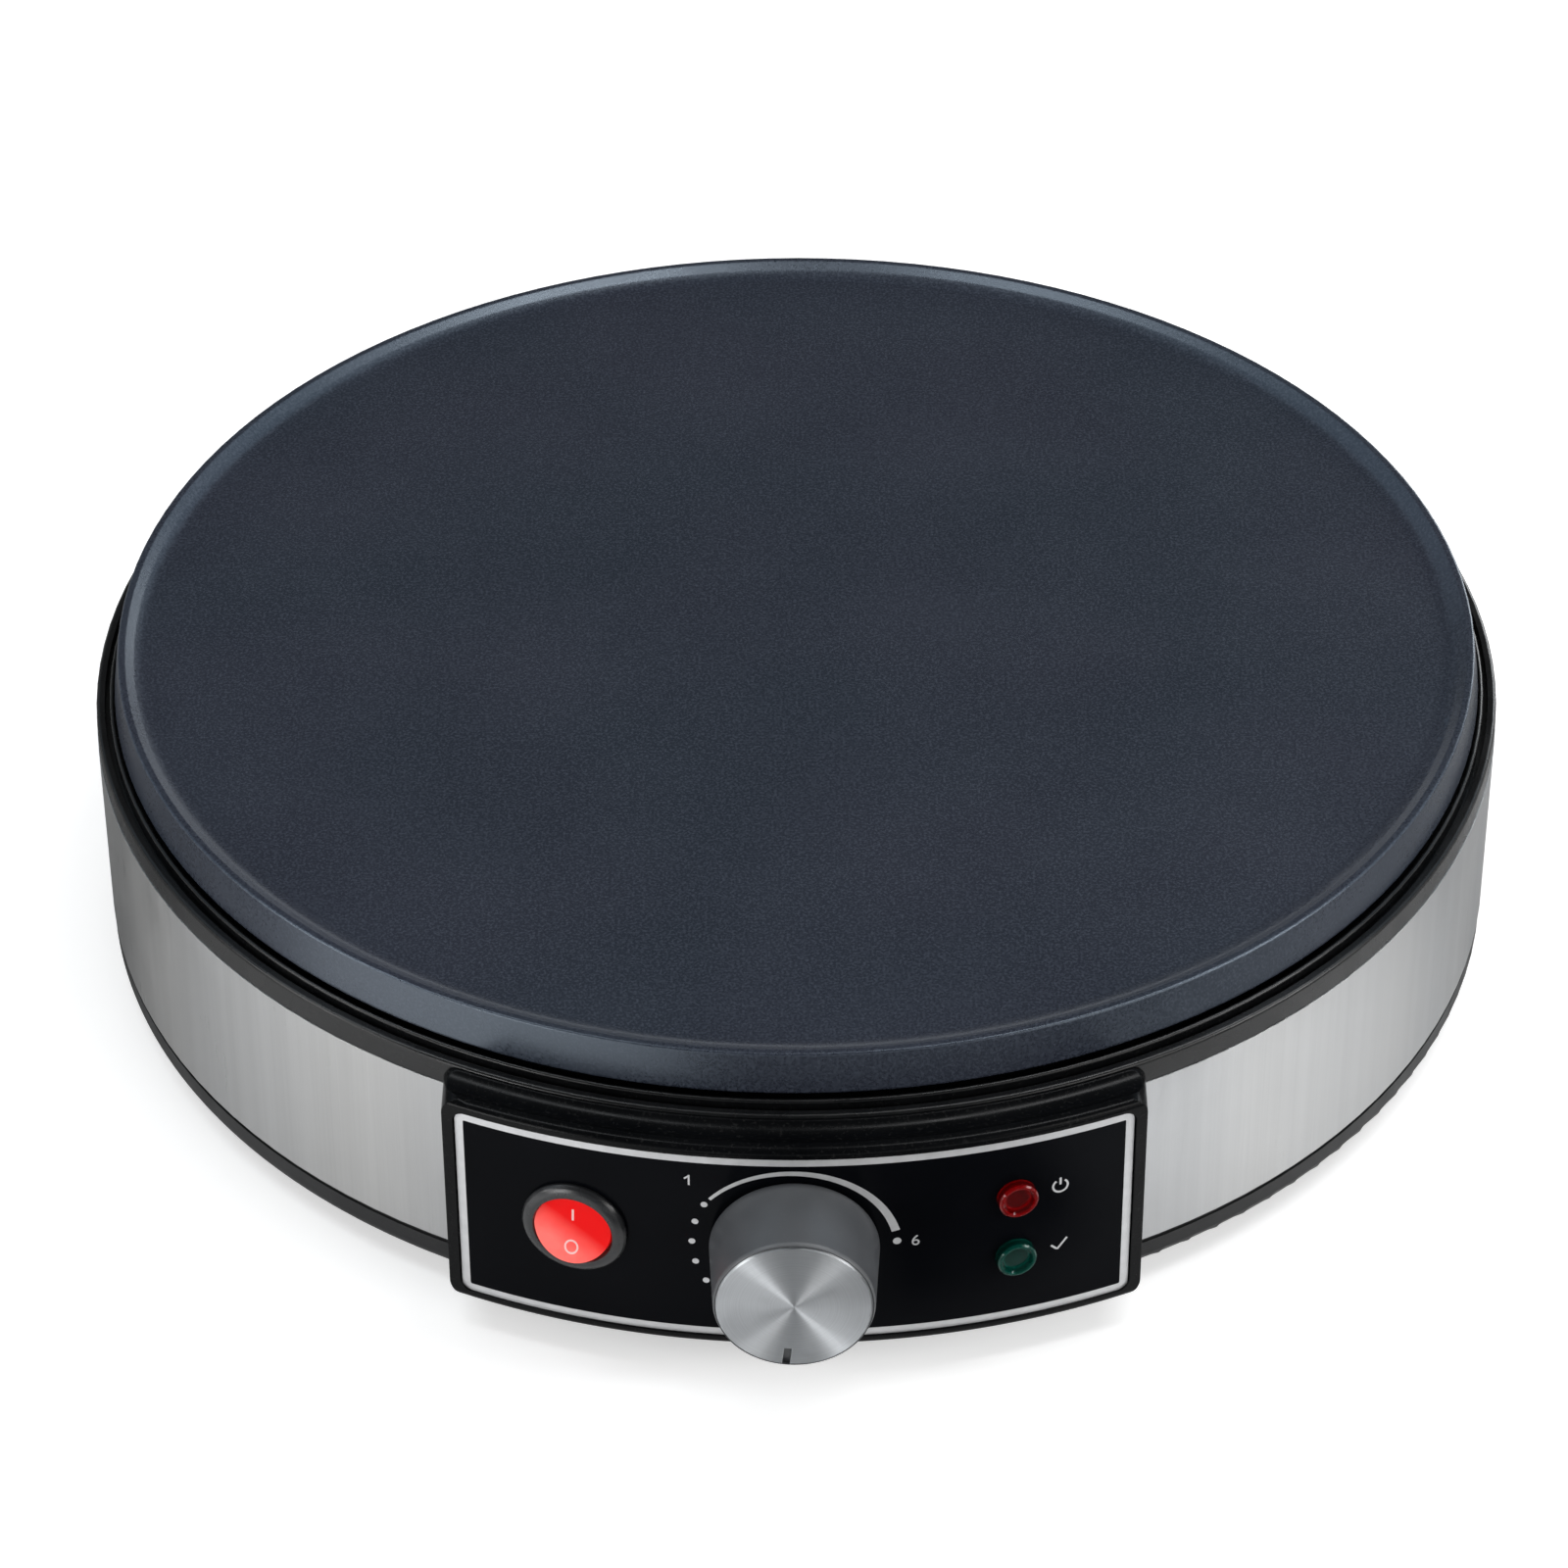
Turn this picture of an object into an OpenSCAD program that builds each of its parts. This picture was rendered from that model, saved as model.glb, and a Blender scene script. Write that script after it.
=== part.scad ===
// Electric crepe maker: a round griddle plate on a low drum with a curved control panel.
// Millimetres. Z = 0 is the worktop under the feet, the drum's axis is X = Y = 0, the panel faces -Y.

/* [Griddle plate] */
// Diameter across the lower edge of the plate's skirt
plate_d = 321; // [300:1:360]
// Width of the raised rim, from the skirt's lower edge to the flat cooking surface
rim_w = 6.8; // [6:0.1:12]
// Width of the land along the top of the rim
land_w = 1.7; // [1:0.1:2.5]
// Height of the rim's crest above the cooking surface
rim_h = 2.4; // [1.5:0.1:4]
// Radius of the land's outer edge
crest_r = 0.5; // [0.3:0.1:1]
// Thickness of the cast plate
plate_t = 3.5; // [3:0.5:6]
// Height of the skirt, from its lower edge to the crest
skirt_h = 9.7; // [9:0.1:12]
// Thickness of the skirt
skirt_t = 3; // [2:0.5:4]
// How far the skirt flares out from the crest to its lower edge
skirt_lean = 1.3; // [0:0.1:2]
// Height of the skirt's lower edge above the trim ring's lip
plate_lift = 2.8; // [1.5:0.1:4]

/* [Drum] */
// How far the trim ring's lip reaches past the plate's rim
lip_reach = 4.5; // [4:0.5:9]
// Height of the trim ring's visible side
lip_h = 6.2; // [5:0.1:9]
// Visible height of the steel band
band_h = 46; // [44:1:60]
// Thickness of the steel band
band_t = 0.5; // [0.4:0.1:1]
// How far the steel band stands out from the trim ring
band_proud = 0.2; // [0:0.1:0.5]
// Shadow gap between the steel band and the base's rim
shadow_gap = 1.3; // [0.8:0.1:3]
// Height of the base's rim
base_rim_h = 6.3; // [5:0.1:10]
// Radius of the base's lower edge
base_edge_r = 2.6; // [1:0.1:2.6]
// Wall thickness of the plastic mouldings
wall = 2.5; // [2:0.1:3]
// Height of the feet below the base
foot_h = 5; // [3:0.5:10]
// Diameter of a foot
foot_d = 20; // [14:1:24]
// How far inside the drum's collar the feet and the drum's screws stand
fixing_inset = 16.4; // [14.4:0.1:24]

/* [Control panel] */
// Width of the panel housing
panel_w = 152; // [148:1:160]
// How far the panel's frame stands out from the trim ring
panel_reach = 10.6; // [9:0.1:14]
// Distance from the ring's lip down to the top of the housing
panel_drop = 0.5; // [0:0.1:2]
// Distance from the base's underside up to the bottom of the housing
panel_rise = 2.8; // [2:0.1:4]
// Width of the frame round the fascia
frame_w = 2.6; // [2:0.1:4]
// Radius of the housing's corners
panel_corner_r = 4; // [2:0.5:6]
// Radius of the housing's front edges
panel_edge_r = 1.8; // [0.5:0.1:2]
// Thickness of the fascia
fascia_t = 0.8; // [0.5:0.1:1.2]
// Depth of the fascia's face behind the frame
fascia_inset = 0.6; // [0.2:0.1:1]
// Height of the controls above the middle of the housing
control_lift = 1; // [-1:0.1:2]

/* [Switch] */
// Distance of the switch from the panel's middle, along the panel
switch_x = 48; // [44:0.5:52]
// Diameter of the switch's bezel
bezel_d = 23.6; // [22.6:0.1:26]
// How far the bezel stands out
bezel_h = 2.1; // [1.5:0.1:3]
// Diameter of the switch's barrel, and of the hole it fills
barrel_d = 20; // [20:0.1:21]
// Depth of the barrel behind the fascia
barrel_depth = 18.5; // [18.5:0.5:22]
// Diameter of the rocker
rocker_d = 17.4; // [16:0.1:17.6]
// Turn of the rocker from on to off
rocker_turn = 24; // [16:1:26]

/* [Knob] */
// Diameter of the knob at the panel
knob_d = 36.8; // [34:0.1:40]
// Diameter of the knob at its front
knob_front_d = 34.8; // [33:0.1:35]
// How far the knob stands out from the fascia
knob_h = 19.6; // [17:0.1:24]
// Diameter of the metal cap in the knob's front
cap_d = 33.6; // [30:0.1:34]
// Thickness of the cap
cap_t = 1.4; // [1:0.1:2]
// Diameter of the thermostat's spindle
spindle_d = 6; // [5:0.1:7]
// Radial gap round the spindle where it turns
spindle_gap = 0.05; // [0.02:0.01:0.1]
// Turn of the pointer past straight down at rest, clockwise
pointer_rest = 6.4; // [0:0.1:20]

/* [Lamps] */
// Distance of the lamps from the panel's middle, along the panel
lamp_x = 48.3; // [44:0.1:52]
// Distance between the two lamps
lamp_pitch = 17; // [15:0.5:20]
// Diameter of a lens
lens_d = 8.8; // [8:0.1:10]
// How far a lens stands out
lens_h = 2.5; // [1.5:0.1:4]

/* [Heater] */
// Radius of the heating element's ring
element_ring_r = 105; // [100:1:112]
// Diameter of the heating element's tube
element_d = 6.6; // [6:0.1:8]
// Angle left open between the element's two ends
element_gap = 34; // [30:1:44]
// Distance of the plate's studs from the axis
stud_ring_r = 75; // [68:1:80]
// Diameter of a stud
stud_d = 5; // [4:0.5:6]

/* [Cord outlet] */
// Diameter of the gland's bore
gland_bore_d = 7.4; // [6:0.1:8]
// Height of the cord outlet above the base's underside
gland_rise = 22; // [19:0.5:30]

/* [Hidden] */
$fn = 96;
eps = 0.02;          // overlap that makes two shapes one solid
over = 1;            // how far a cut runs past a surface
slip = 0.1;          // gap round a piece that is fixed
clear = 0.3;         // gap beside a piece that moves, or between mouldings

// Levels
base_z = foot_h;
floor_z = base_z + wall;
rim_top_z = base_z + base_rim_h;
band_z = rim_top_z + shadow_gap;
band_top_z = band_z + band_h;
lip_z = band_top_z + lip_h;
skirt_z = lip_z + plate_lift;
crest_z = skirt_z + skirt_h;
cook_z = crest_z - rim_h;
under_z = cook_z - plate_t;

// Radii
plate_r = plate_d / 2;
cook_r = plate_r - rim_w;
rim_blend_r = 7;      // hollow where the cooking surface turns up into the rim
crest_out_r = plate_r - skirt_lean;
lip_r = plate_r + lip_reach;
band_r = lip_r + band_proud;
band_in_r = band_r - band_t;
collar_r = band_in_r - clear;
collar_in_r = collar_r - wall * 0.75;
fixing_r = collar_r - fixing_inset;
frame_r = lip_r + panel_reach;
face_r = frame_r - fascia_inset;

// Trim ring
lip_w = 2;
lip_edge_r = 0.9;
trough_deep = 2.2;
trough_t = 1.6;
bead_w = 1.2;
bead_gap = 0.1;
bead_in_r = plate_r + bead_gap;
bead_top_z = lip_z + 1.5;
flange_w = 12;
flange_in_r = bead_in_r - flange_w;
flange_z = lip_z - trough_deep - trough_t;
collar_h = 11;

// Fixings of the drum
boss_d = 10;
boss_angles = [45, 135, 225, 315];
foot_angles = [for (a = boss_angles) a + 12];
joint_z = 36;
screw_d = 4;
screw_head_d = 7.4;
screw_head_t = 2.6;
screw_seat_z = joint_z - 10;
screw_bite = 12;
vent_count = 24;
vent_r = 112;
vent_l = 24;
vent_w = 3;

// Panel housing
housing_z = base_z + panel_rise;
housing_top_z = lip_z - panel_drop;
housing_h = housing_top_z - housing_z;
control_z = housing_z + housing_h / 2 + control_lift;
front_t = 3;
opening_w = panel_w - 2 * wall;
panel_x = panel_w / 2;
fascia_w = panel_w - 2 * frame_w;
fascia_h = housing_h - 2 * frame_w;
fascia_corner_r = panel_corner_r - frame_w / 2;
panel_back = lip_r - 50;
shell_in_r = lip_r + clear;
web_x = opening_w / 2 - clear;
flange_x = panel_x + 8;
cove_r = 5.5;
cove_deep = 1.4;
cove_reach = 4;
band_end = asin((opening_w / 2 + clear) / band_in_r);
tab_x = panel_x - 16;
tab_y = -sqrt(pow(collar_in_r - 7, 2) - tab_x * tab_x);
tab_w = 12;
tab_t = 2.5;
tab_z = rim_top_z + clear;
tab_boss_h = 8;
panel_screw_d = 3;

// Switch, in depths from the fascia, out to the front
pivot_out = -1;
cavity_r = rocker_d / 2 + clear;
bezel_steps = [0.35 * bezel_h, 0.7 * bezel_h, 0.9 * bezel_h];
bezel_cut = [0.9, 2.4, 3.6];
rocker_face_out = 1.9;
rocker_hollow_r = 34;
rocker_back_out = -4.5;
rocker_wall = 1.6;
pivot_d = 2.2;
nose_r = 1.2;
nose_l = 8.8;
contact_out = -11.7;
contact_t = 0.8;
contact_l = 13;
contact_w = 5;
contact_turn = 6;
fixed_z = -5;
contact_disc_d = 2.4;
barrel_floor = 1.6;
blade_w = 6.3;
blade_t = 0.8;
blade_out = 8;
blade_pitch = 7;

// Knob and thermostat
knob_gap = 0.8;
knob_wall = 1.6;
knob_face_t = 4;
hub_r = 5.5;
hub_deep = 13;
cap_rise = 0.3;
pointer_w = 1.7;
pointer_l = 4.8;
flat_depth = 1.5;
flat_l = 12;
bracket_back = 30;
bracket_t = 1.2;
bracket_w = 28;
bracket_below = 15;
bush_d = 9.6;
bush_front = 15;
bush_flange_d = 14;
bush_flange_t = 1.4;
nut_d = 14;
nut_t = 3;
stack_lift = 17;
stack_d = 10;
rivet_d = 3;
rivet_head_d = 6;
leaf_t = 0.5;
leaf_w = 8;
leaf_depths = [35.5, 39.5, 43.5];
leaf_step = 2;
stack_deep = 47;
spindle_back = 34.8;
spindle_front = hub_deep - 0.5;
bracket_boss_y = -face_r + bracket_back + 13;
bracket_boss_h = 3;
bracket_boss_d = 10;
bracket_top_z = under_z - bracket_boss_h;
small_screw_d = 4;
small_head_d = 7;
small_head_t = 2.4;

// Lamps
lens_edge = 0.35;
lens_dish = 1.3;
lens_rim_w = 0.8;
lens_floor_in = 1.5;
stem_d = 7;
stem_deep = 6;
sleeve_d = 9.4;
sleeve_l = 12;
neon_d = 5;
neon_l = 13;
lamp_tops = [for (s = [1, -1]) control_z + s * lamp_pitch / 2];

// Heater
element_r = element_d / 2;
element_z = under_z - element_r - 0.05;
rib_t = 2;
rib_h = 3.5;
clip_angles = [30, 150, 270];
clip_ring_r = element_ring_r - 15;
clip_w = 12;
clip_t = 1.2;
clip_z = element_z - element_r - 0.05 - clip_t;
clip_boss_d = 9;
pin_d = 3;
pin_l = 12;
pin_tab_l = 8;
pin_reach = element_ring_r * sin(element_gap / 2) + 1;
stud_angles = [90, 210, 330];
stud_boss_d = 12;
stud_boss_h = 8;
stud_z = under_z - stud_boss_h;
shield_z = lip_z - 12.8;
shield_t = 0.6;
shield_gap = 6;
shield_r = face_r - stack_deep - shield_gap;
shield_edge_h = 6;
shield_notch_w = 64;
shield_notch_l = 36;
shield_hole_ring_r = 40;
shield_hole_d = 8;
pillar_d = 12;
pillar_bore = stud_d + 0.6;
nut_pocket_d = 11;
nut_seat_z = base_z + 12;
stud_nut_d = 9.2;
stud_nut_t = 4;
stud_tail = 2;
spacer_d = 9;
fuse_x = -30;
fuse_y = -45;
fuse_d = 4.2;
fuse_l = 14;
fuse_cap_l = 1.5;
fuse_boss_x = 9;
fuse_lead_l = 6;
fuse_z = under_z - fuse_d / 2 - slip;
fuse_clip_z = under_z - fuse_d - 2 * slip - clip_t;
earth_x = 20;
earth_y = clip_ring_r;

// Terminal block and cord outlet
block_w = 34;
block_l = 18;
block_h = 14;
block_screw_d = 5;
pole_pitch = 11;
block_hole_z = 5;
block_hole_d = 4;
gland_z = base_z + gland_rise;
gland_d = 13;
gland_flange_d = 18;
gland_flange_t = 2.2;
gland_lock_t = 2.5;
gland_tail = 9;
gland_lock_y = sqrt(pow(collar_in_r, 2) - pow(gland_flange_d / 2, 2)) - slip;
tongue_w = 26;
clamp_y = collar_r - 22;
block_gap = 11.4;
block_y = clamp_y - block_gap - block_l / 2;
clamp_pitch = 24;
clamp_arch_r = 5;
clamp_t = 2.4;
clamp_w = 8;
clamp_post_h = gland_z - floor_z - clamp_arch_r;

// Wires
wire_d = 2.6;
lead_d = 1.4;
wire_gap = 0.2;
tab_gap = 0.8;
leaf_wire_z = 8;
earth_z = under_z - bracket_boss_h - small_head_t - wire_gap;
crimp_d = 9;
cap_l = 13;
cap_mouth_l = 4;
cap_spread = 2.1;
caps = [[[-16, 59 - face_r, 24], -1], [[26, 71 - face_r, 18], 1]];

// ---- Shared shapes ----

// A square ring section between two radii and two heights, to be revolved
module section(r0, r1, z0, z1) {
    translate([r0, z0]) square([r1 - r0, z1 - z0]);
}

// A shape repeated round the axis, turned to each angle and moved out to a radius
module around(angles, r, z = 0) {
    for (a = angles) rotate([0, 0, a]) translate([r, 0, z]) children();
}

// A place on the fascia: children face out along -Y, with X to the right and Z up
module on_panel(along, z) {
    rotate([0, 0, along / face_r * 180 / PI]) translate([0, -face_r, z]) children();
}

// A round bar square to the fascia, between two distances out from it
module bar(out0, out1, d0, d1 = 0) {
    translate([0, -out0, 0])
        rotate([90, 0, 0])
            cylinder(h = out1 - out0, d1 = d0, d2 = d1 > 0 ? d1 : d0);
}

// A panel outline with round corners, run through the panel from behind to in front
module panel_prism(w, h, r, y0, y1) {
    translate([0, -y0, housing_z + housing_h / 2])
        rotate([90, 0, 0])
            linear_extrude(height = y1 - y0) {
                square([w - 2 * r, h], center = true);
                square([w, h - 2 * r], center = true);
                for (x = [-1, 1], y = [-1, 1])
                    translate([x * (w / 2 - r), y * (h / 2 - r)]) circle(r = r);
            }
}

// A pan-head screw standing head down, with its seat at z = 0
module screw(d, head_d, head_t, length) {
    cylinder(h = length, d = d);
    translate([0, 0, -head_t])
        difference() {
            cylinder(h = head_t, d = head_d);
            translate([0, 0, -over])
                linear_extrude(height = over + head_t / 2)
                    for (a = [0, 90]) rotate(a) square([head_d * 0.6, head_d * 0.14], center = true);
        }
}

// A hexagon nut with its lower face at z = 0
module hex_nut(across, t, bore) {
    difference() {
        cylinder(h = t, d = across, $fn = 6);
        translate([0, 0, -over]) cylinder(h = t + 2 * over, d = bore);
    }
}

// The holes of the panel's controls, through housing and fascia
module control_holes() {
    on_panel(-switch_x, control_z) bar(-over * 12, over * 2, barrel_d + 2 * slip);
    on_panel(0, control_z) bar(-over * 12, over * 2, spindle_d + 6);
    for (z = lamp_tops) on_panel(lamp_x, z) bar(-over * 12, over * 2, stem_d + 2 * slip);
}

// ---- Plate and heater ----

module plate_section() {
    crest_x = crest_out_r - crest_r;
    crest_y = crest_z - crest_r;
    land_r = crest_out_r - land_w;
    rise = atan2(crest_z - cook_z, land_r - cook_r);
    blend_l = min(rim_blend_r * tan(rise / 2), 0.8 * norm([land_r - cook_r, rim_h]));
    blend_r = blend_l / tan(rise / 2);
    flare = atan2(crest_y - skirt_z, crest_x - plate_r)
        - asin(crest_r / norm([plate_r - crest_x, crest_y - skirt_z]));
    section(0, plate_r - skirt_t, under_z, cook_z);
    translate([crest_x, crest_y]) circle(r = crest_r);
    difference() {
        polygon([
            [cook_r - blend_l, cook_z - eps], [cook_r, cook_z - eps],
            [cook_r + blend_l * cos(rise), cook_z + blend_l * sin(rise)],
            [cook_r - blend_l, cook_z]
        ]);
        translate([cook_r - blend_l, cook_z + blend_r]) circle(r = blend_r);
    }
    polygon([
        [cook_r - 1, cook_z - 1], [cook_r, cook_z], [land_r, crest_z], [crest_x, crest_z],
        [crest_x, crest_y],
        [crest_x + crest_r * sin(flare), crest_y - crest_r * cos(flare)],
        [plate_r, skirt_z], [plate_r - skirt_t, skirt_z], [plate_r - skirt_t, under_z]
    ]);
}

module griddle_plate() {
    color("#2c333b") difference() {
        union() {
            rotate_extrude() plate_section();
            rotate_extrude()
                for (side = [-1, 1])
                    translate([
                        element_ring_r + side * (element_r + slip + rib_t / 2),
                        under_z - rib_h / 2 + eps
                    ])
                        square([rib_t, rib_h + eps], center = true);
            around(clip_angles, clip_ring_r, clip_z + clip_t)
                cylinder(h = under_z - clip_z - clip_t + eps, d = clip_boss_d);
            around(stud_angles, stud_ring_r, stud_z)
                cylinder(h = stud_boss_h + eps, d = stud_boss_d);
            translate([0, bracket_boss_y, bracket_top_z])
                cylinder(h = bracket_boss_h + eps, d = bracket_boss_d);
            translate([fuse_x + fuse_boss_x, fuse_y, under_z - fuse_d])
                cylinder(h = fuse_d + eps, d = clip_boss_d);
            translate([earth_x, earth_y, under_z - bracket_boss_h])
                cylinder(h = bracket_boss_h + eps, d = clip_boss_d);
        }
        around(clip_angles, clip_ring_r, clip_z)
            cylinder(h = under_z - clip_z + 1.5, d = small_screw_d + slip);
        around(stud_angles, stud_ring_r, stud_z - over)
            cylinder(h = over + stud_boss_h + 0.5, d = stud_d + slip);
        translate([0, bracket_boss_y, bracket_top_z - over])
            cylinder(h = over + bracket_boss_h + 2, d = small_screw_d + slip);
        translate([fuse_x + fuse_boss_x, fuse_y, under_z - fuse_d - over])
            cylinder(h = over + fuse_d + 1.5, d = small_screw_d + slip);
        translate([earth_x, earth_y, under_z - bracket_boss_h - over])
            cylinder(h = over + bracket_boss_h + 2, d = small_screw_d + slip);
        around(clip_angles, element_ring_r, under_z - rib_h)
            cube([element_d + 4 * rib_t, clip_w + 2, 2 * rib_h - 2 * slip], center = true);
        translate([-pin_reach, element_ring_r - 16, under_z - rib_h - over])
            cube([2 * pin_reach, 32, rib_h + over]);
    }
}

module element_end(side) {
    rotate([0, 0, 90 + side * element_gap / 2])
        translate([element_ring_r, 0, element_z])
            rotate([side * 90, 0, 0]) children();
}

module heating_element() {
    color("#55565a")
        rotate([0, 0, 90 + element_gap / 2])
            rotate_extrude(angle = 360 - element_gap)
                translate([element_ring_r, element_z]) circle(r = element_r);
}

module element_pins() {
    color("#c9c9c2")
        for (side = [-1, 1])
            element_end(side) {
                cylinder(h = pin_l, d = pin_d);
                cylinder(h = 4, d = element_d);
                translate([-blade_w / 2, -blade_t / 2, pin_l - eps]) cube([blade_w, blade_t, pin_tab_l]);
            }
}

module element_clips() {
    color("#b5b8ba")
        around(clip_angles, clip_ring_r, clip_z)
            difference() {
                translate([-clip_boss_d / 2, -clip_w / 2, 0])
                    cube([element_ring_r - clip_ring_r + clip_boss_d / 2 + element_d, clip_w, clip_t]);
                translate([0, 0, -over]) cylinder(h = clip_t + 2 * over, d = small_screw_d + 4 * slip);
            }
}

module plate_screws() {
    color("#9a9da0") {
        around(clip_angles, clip_ring_r, clip_z)
            screw(small_screw_d, small_head_d, small_head_t, under_z - clip_z);
        translate([0, bracket_boss_y, bracket_top_z - bracket_t])
            screw(small_screw_d, small_head_d, small_head_t, bracket_t + bracket_boss_h + 1);
        translate([fuse_x + fuse_boss_x, fuse_y, fuse_clip_z])
            screw(small_screw_d, small_head_d, small_head_t, under_z - fuse_clip_z + 1);
        translate([earth_x, earth_y, under_z - bracket_boss_h])
            screw(small_screw_d, small_head_d, small_head_t, bracket_boss_h + 1);
    }
}

module heat_shield() {
    color("#c3c6c8") difference() {
        rotate_extrude() {
            section(0, shield_r, shield_z, shield_z + shield_t);
            section(shield_r - shield_t, shield_r, shield_z - shield_edge_h, shield_z + shield_t);
        }
        around(stud_angles, stud_ring_r, shield_z - over)
            cylinder(h = shield_t + 2 * over, d = pillar_bore);
        translate([-shield_notch_w / 2, shield_r - shield_notch_l, shield_z - shield_edge_h - over])
            cube([shield_notch_w, shield_notch_l + over, shield_edge_h + shield_t + 2 * over]);
        for (a = [0 : 30 : 330])
            rotate([0, 0, a]) translate([shield_hole_ring_r, 0, shield_z - over])
                cylinder(h = shield_t + 2 * over, d = shield_hole_d);
    }
}

module plate_studs() {
    color("#aeb1b3")
        around(stud_angles, stud_ring_r, nut_seat_z - stud_nut_t - stud_tail)
            cylinder(h = stud_z + stud_boss_h - nut_seat_z + stud_nut_t + stud_tail, d = stud_d);
}

module stud_spacers() {
    color("#c3c6c8")
        around(stud_angles, stud_ring_r, shield_z + shield_t)
            difference() {
                cylinder(h = stud_z - shield_z - shield_t, d = spacer_d);
                translate([0, 0, -over])
                    cylinder(h = stud_z - shield_z + 2 * over, d = stud_d + 2 * slip);
            }
}

module stud_nuts() {
    color("#b9bbbd")
        around(stud_angles, stud_ring_r, nut_seat_z - stud_nut_t)
            hex_nut(stud_nut_d, stud_nut_t, stud_d + slip);
}

// ---- Drum ----

module trim_ring() {
    color("#17181a") difference() {
        union() {
            rotate_extrude() {
                section(lip_r - lip_w, lip_r, band_top_z, lip_z - lip_edge_r);
                section(lip_r - lip_w, lip_r - lip_edge_r, band_top_z, lip_z);
                translate([lip_r - lip_edge_r, lip_z - lip_edge_r]) circle(r = lip_edge_r);
                section(flange_in_r, lip_r - lip_w + eps, flange_z, flange_z + trough_t);
                section(bead_in_r, bead_in_r + bead_w, flange_z, bead_top_z - bead_w / 2);
                translate([bead_in_r + bead_w / 2, bead_top_z - bead_w / 2]) circle(r = bead_w / 2);
                section(collar_in_r, collar_r, band_top_z - collar_h, band_top_z + eps);
                section(collar_in_r, lip_r - lip_w + eps, band_top_z, flange_z + trough_t);
            }
            around(boss_angles, fixing_r, joint_z)
                cylinder(h = flange_z - joint_z + eps, d = boss_d);
            around(boss_angles, fixing_r, flange_z - 8)
                translate([0, -1, 0]) cube([collar_r - fixing_r - 0.5, 2, 8 + eps]);
        }
        around(boss_angles, fixing_r, joint_z - over)
            cylinder(h = over + screw_bite + 2, d = screw_d + slip);
        translate([-opening_w / 2, -lip_r, band_top_z - collar_h - over])
            cube([opening_w, 40, collar_h + over]);
    }
}

module steel_band() {
    color("#b9bab8") difference() {
        rotate([0, 0, -90 + band_end])
            rotate_extrude(angle = 360 - 2 * band_end) section(band_in_r, band_r, band_z, band_top_z);
        gland_hole();
    }
}

// The hole of the cord's gland, through the drum's back
module gland_hole() {
    translate([0, collar_in_r - 3, gland_z]) rotate([-90, 0, 0]) cylinder(h = 12, d = gland_d + 2 * slip);
}

module vent_slot() {
    translate([vent_r, 0, base_z - over])
        linear_extrude(height = wall + 2 * over) {
            square([vent_l, vent_w], center = true);
            for (x = [-1, 1]) translate([x * vent_l / 2, 0]) circle(d = vent_w);
        }
}

module base_pan() {
    color("#1b1c1e") difference() {
        union() {
            rotate_extrude() {
                section(0, lip_r - base_edge_r, base_z, floor_z);
                intersection() {
                    translate([lip_r - base_edge_r, base_z + base_edge_r]) circle(r = base_edge_r);
                    section(lip_r - base_edge_r - eps, lip_r, base_z, base_z + base_edge_r);
                }
                section(collar_in_r, lip_r, base_z + base_edge_r - eps, rim_top_z);
                section(collar_in_r, collar_r, base_z + base_edge_r, band_z + collar_h);
            }
            intersection() {
                rotate_extrude() section(collar_in_r, collar_r, base_z, gland_z + tongue_w / 2);
                translate([-tongue_w / 2, 0, 0]) cube([tongue_w, lip_r, lip_z]);
            }
            around(boss_angles, fixing_r, base_z) cylinder(h = joint_z - base_z, d = boss_d);
            around(stud_angles, stud_ring_r, base_z) cylinder(h = shield_z - base_z, d = pillar_d + 3);
            for (x = [-tab_x, tab_x])
                translate([x, tab_y, base_z]) cylinder(h = tab_z - base_z, d = boss_d);
            for (x = [-1, 1])
                translate([x * clamp_pitch / 2, clamp_y, base_z])
                    cylinder(h = wall + clamp_post_h, d = clamp_w);
        }
        around(boss_angles, fixing_r, base_z - over) {
            cylinder(h = 200, d = screw_d + 4 * slip);
            cylinder(h = over + screw_seat_z - base_z, d = screw_head_d + 6 * slip);
        }
        around(stud_angles, stud_ring_r, base_z - over) {
            cylinder(h = 200, d = pillar_bore);
            cylinder(h = over + nut_seat_z - base_z, d = nut_pocket_d);
        }
        around(foot_angles, fixing_r, base_z - over)
            cylinder(h = wall + 2 * over, d = foot_stem_d + 2 * slip);
        for (x = [-tab_x, tab_x])
            translate([x, tab_y, base_z - over]) {
                cylinder(h = 60, d = panel_screw_d + 4 * slip);
                cylinder(h = over + screw_head_t, d = screw_head_d + 2 * slip);
            }
        for (x = [-1, 1])
            translate([x * clamp_pitch / 2, clamp_y, floor_z])
                cylinder(h = clamp_post_h + over, d = panel_screw_d + slip);
        translate([-opening_w / 2, -lip_r, rim_top_z])
            cube([opening_w, 40, collar_h + shadow_gap + over]);
        gland_hole();
        for (i = [0 : vent_count - 1])
            let (a = (i + 0.5) * 360 / vent_count)
                if (abs(a - 90) > 10) rotate([0, 0, a]) vent_slot();
    }
}

foot_stem_d = 6;
foot_barb_d = 9;
foot_barb_t = 2;

module rubber_feet() {
    color("#222222")
        around(foot_angles, fixing_r) {
            cylinder(h = 1, d1 = foot_d - 2, d2 = foot_d);
            translate([0, 0, 1]) cylinder(h = foot_h - 1, d = foot_d);
            cylinder(h = floor_z + foot_barb_t, d = foot_stem_d);
            translate([0, 0, floor_z]) cylinder(h = foot_barb_t, d1 = foot_barb_d, d2 = foot_stem_d);
        }
}

module drum_screws() {
    color("#8d9093")
        around(boss_angles, fixing_r, screw_seat_z)
            screw(screw_d, screw_head_d, screw_head_t, joint_z - screw_seat_z + screw_bite);
}

// ---- Control panel ----

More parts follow.
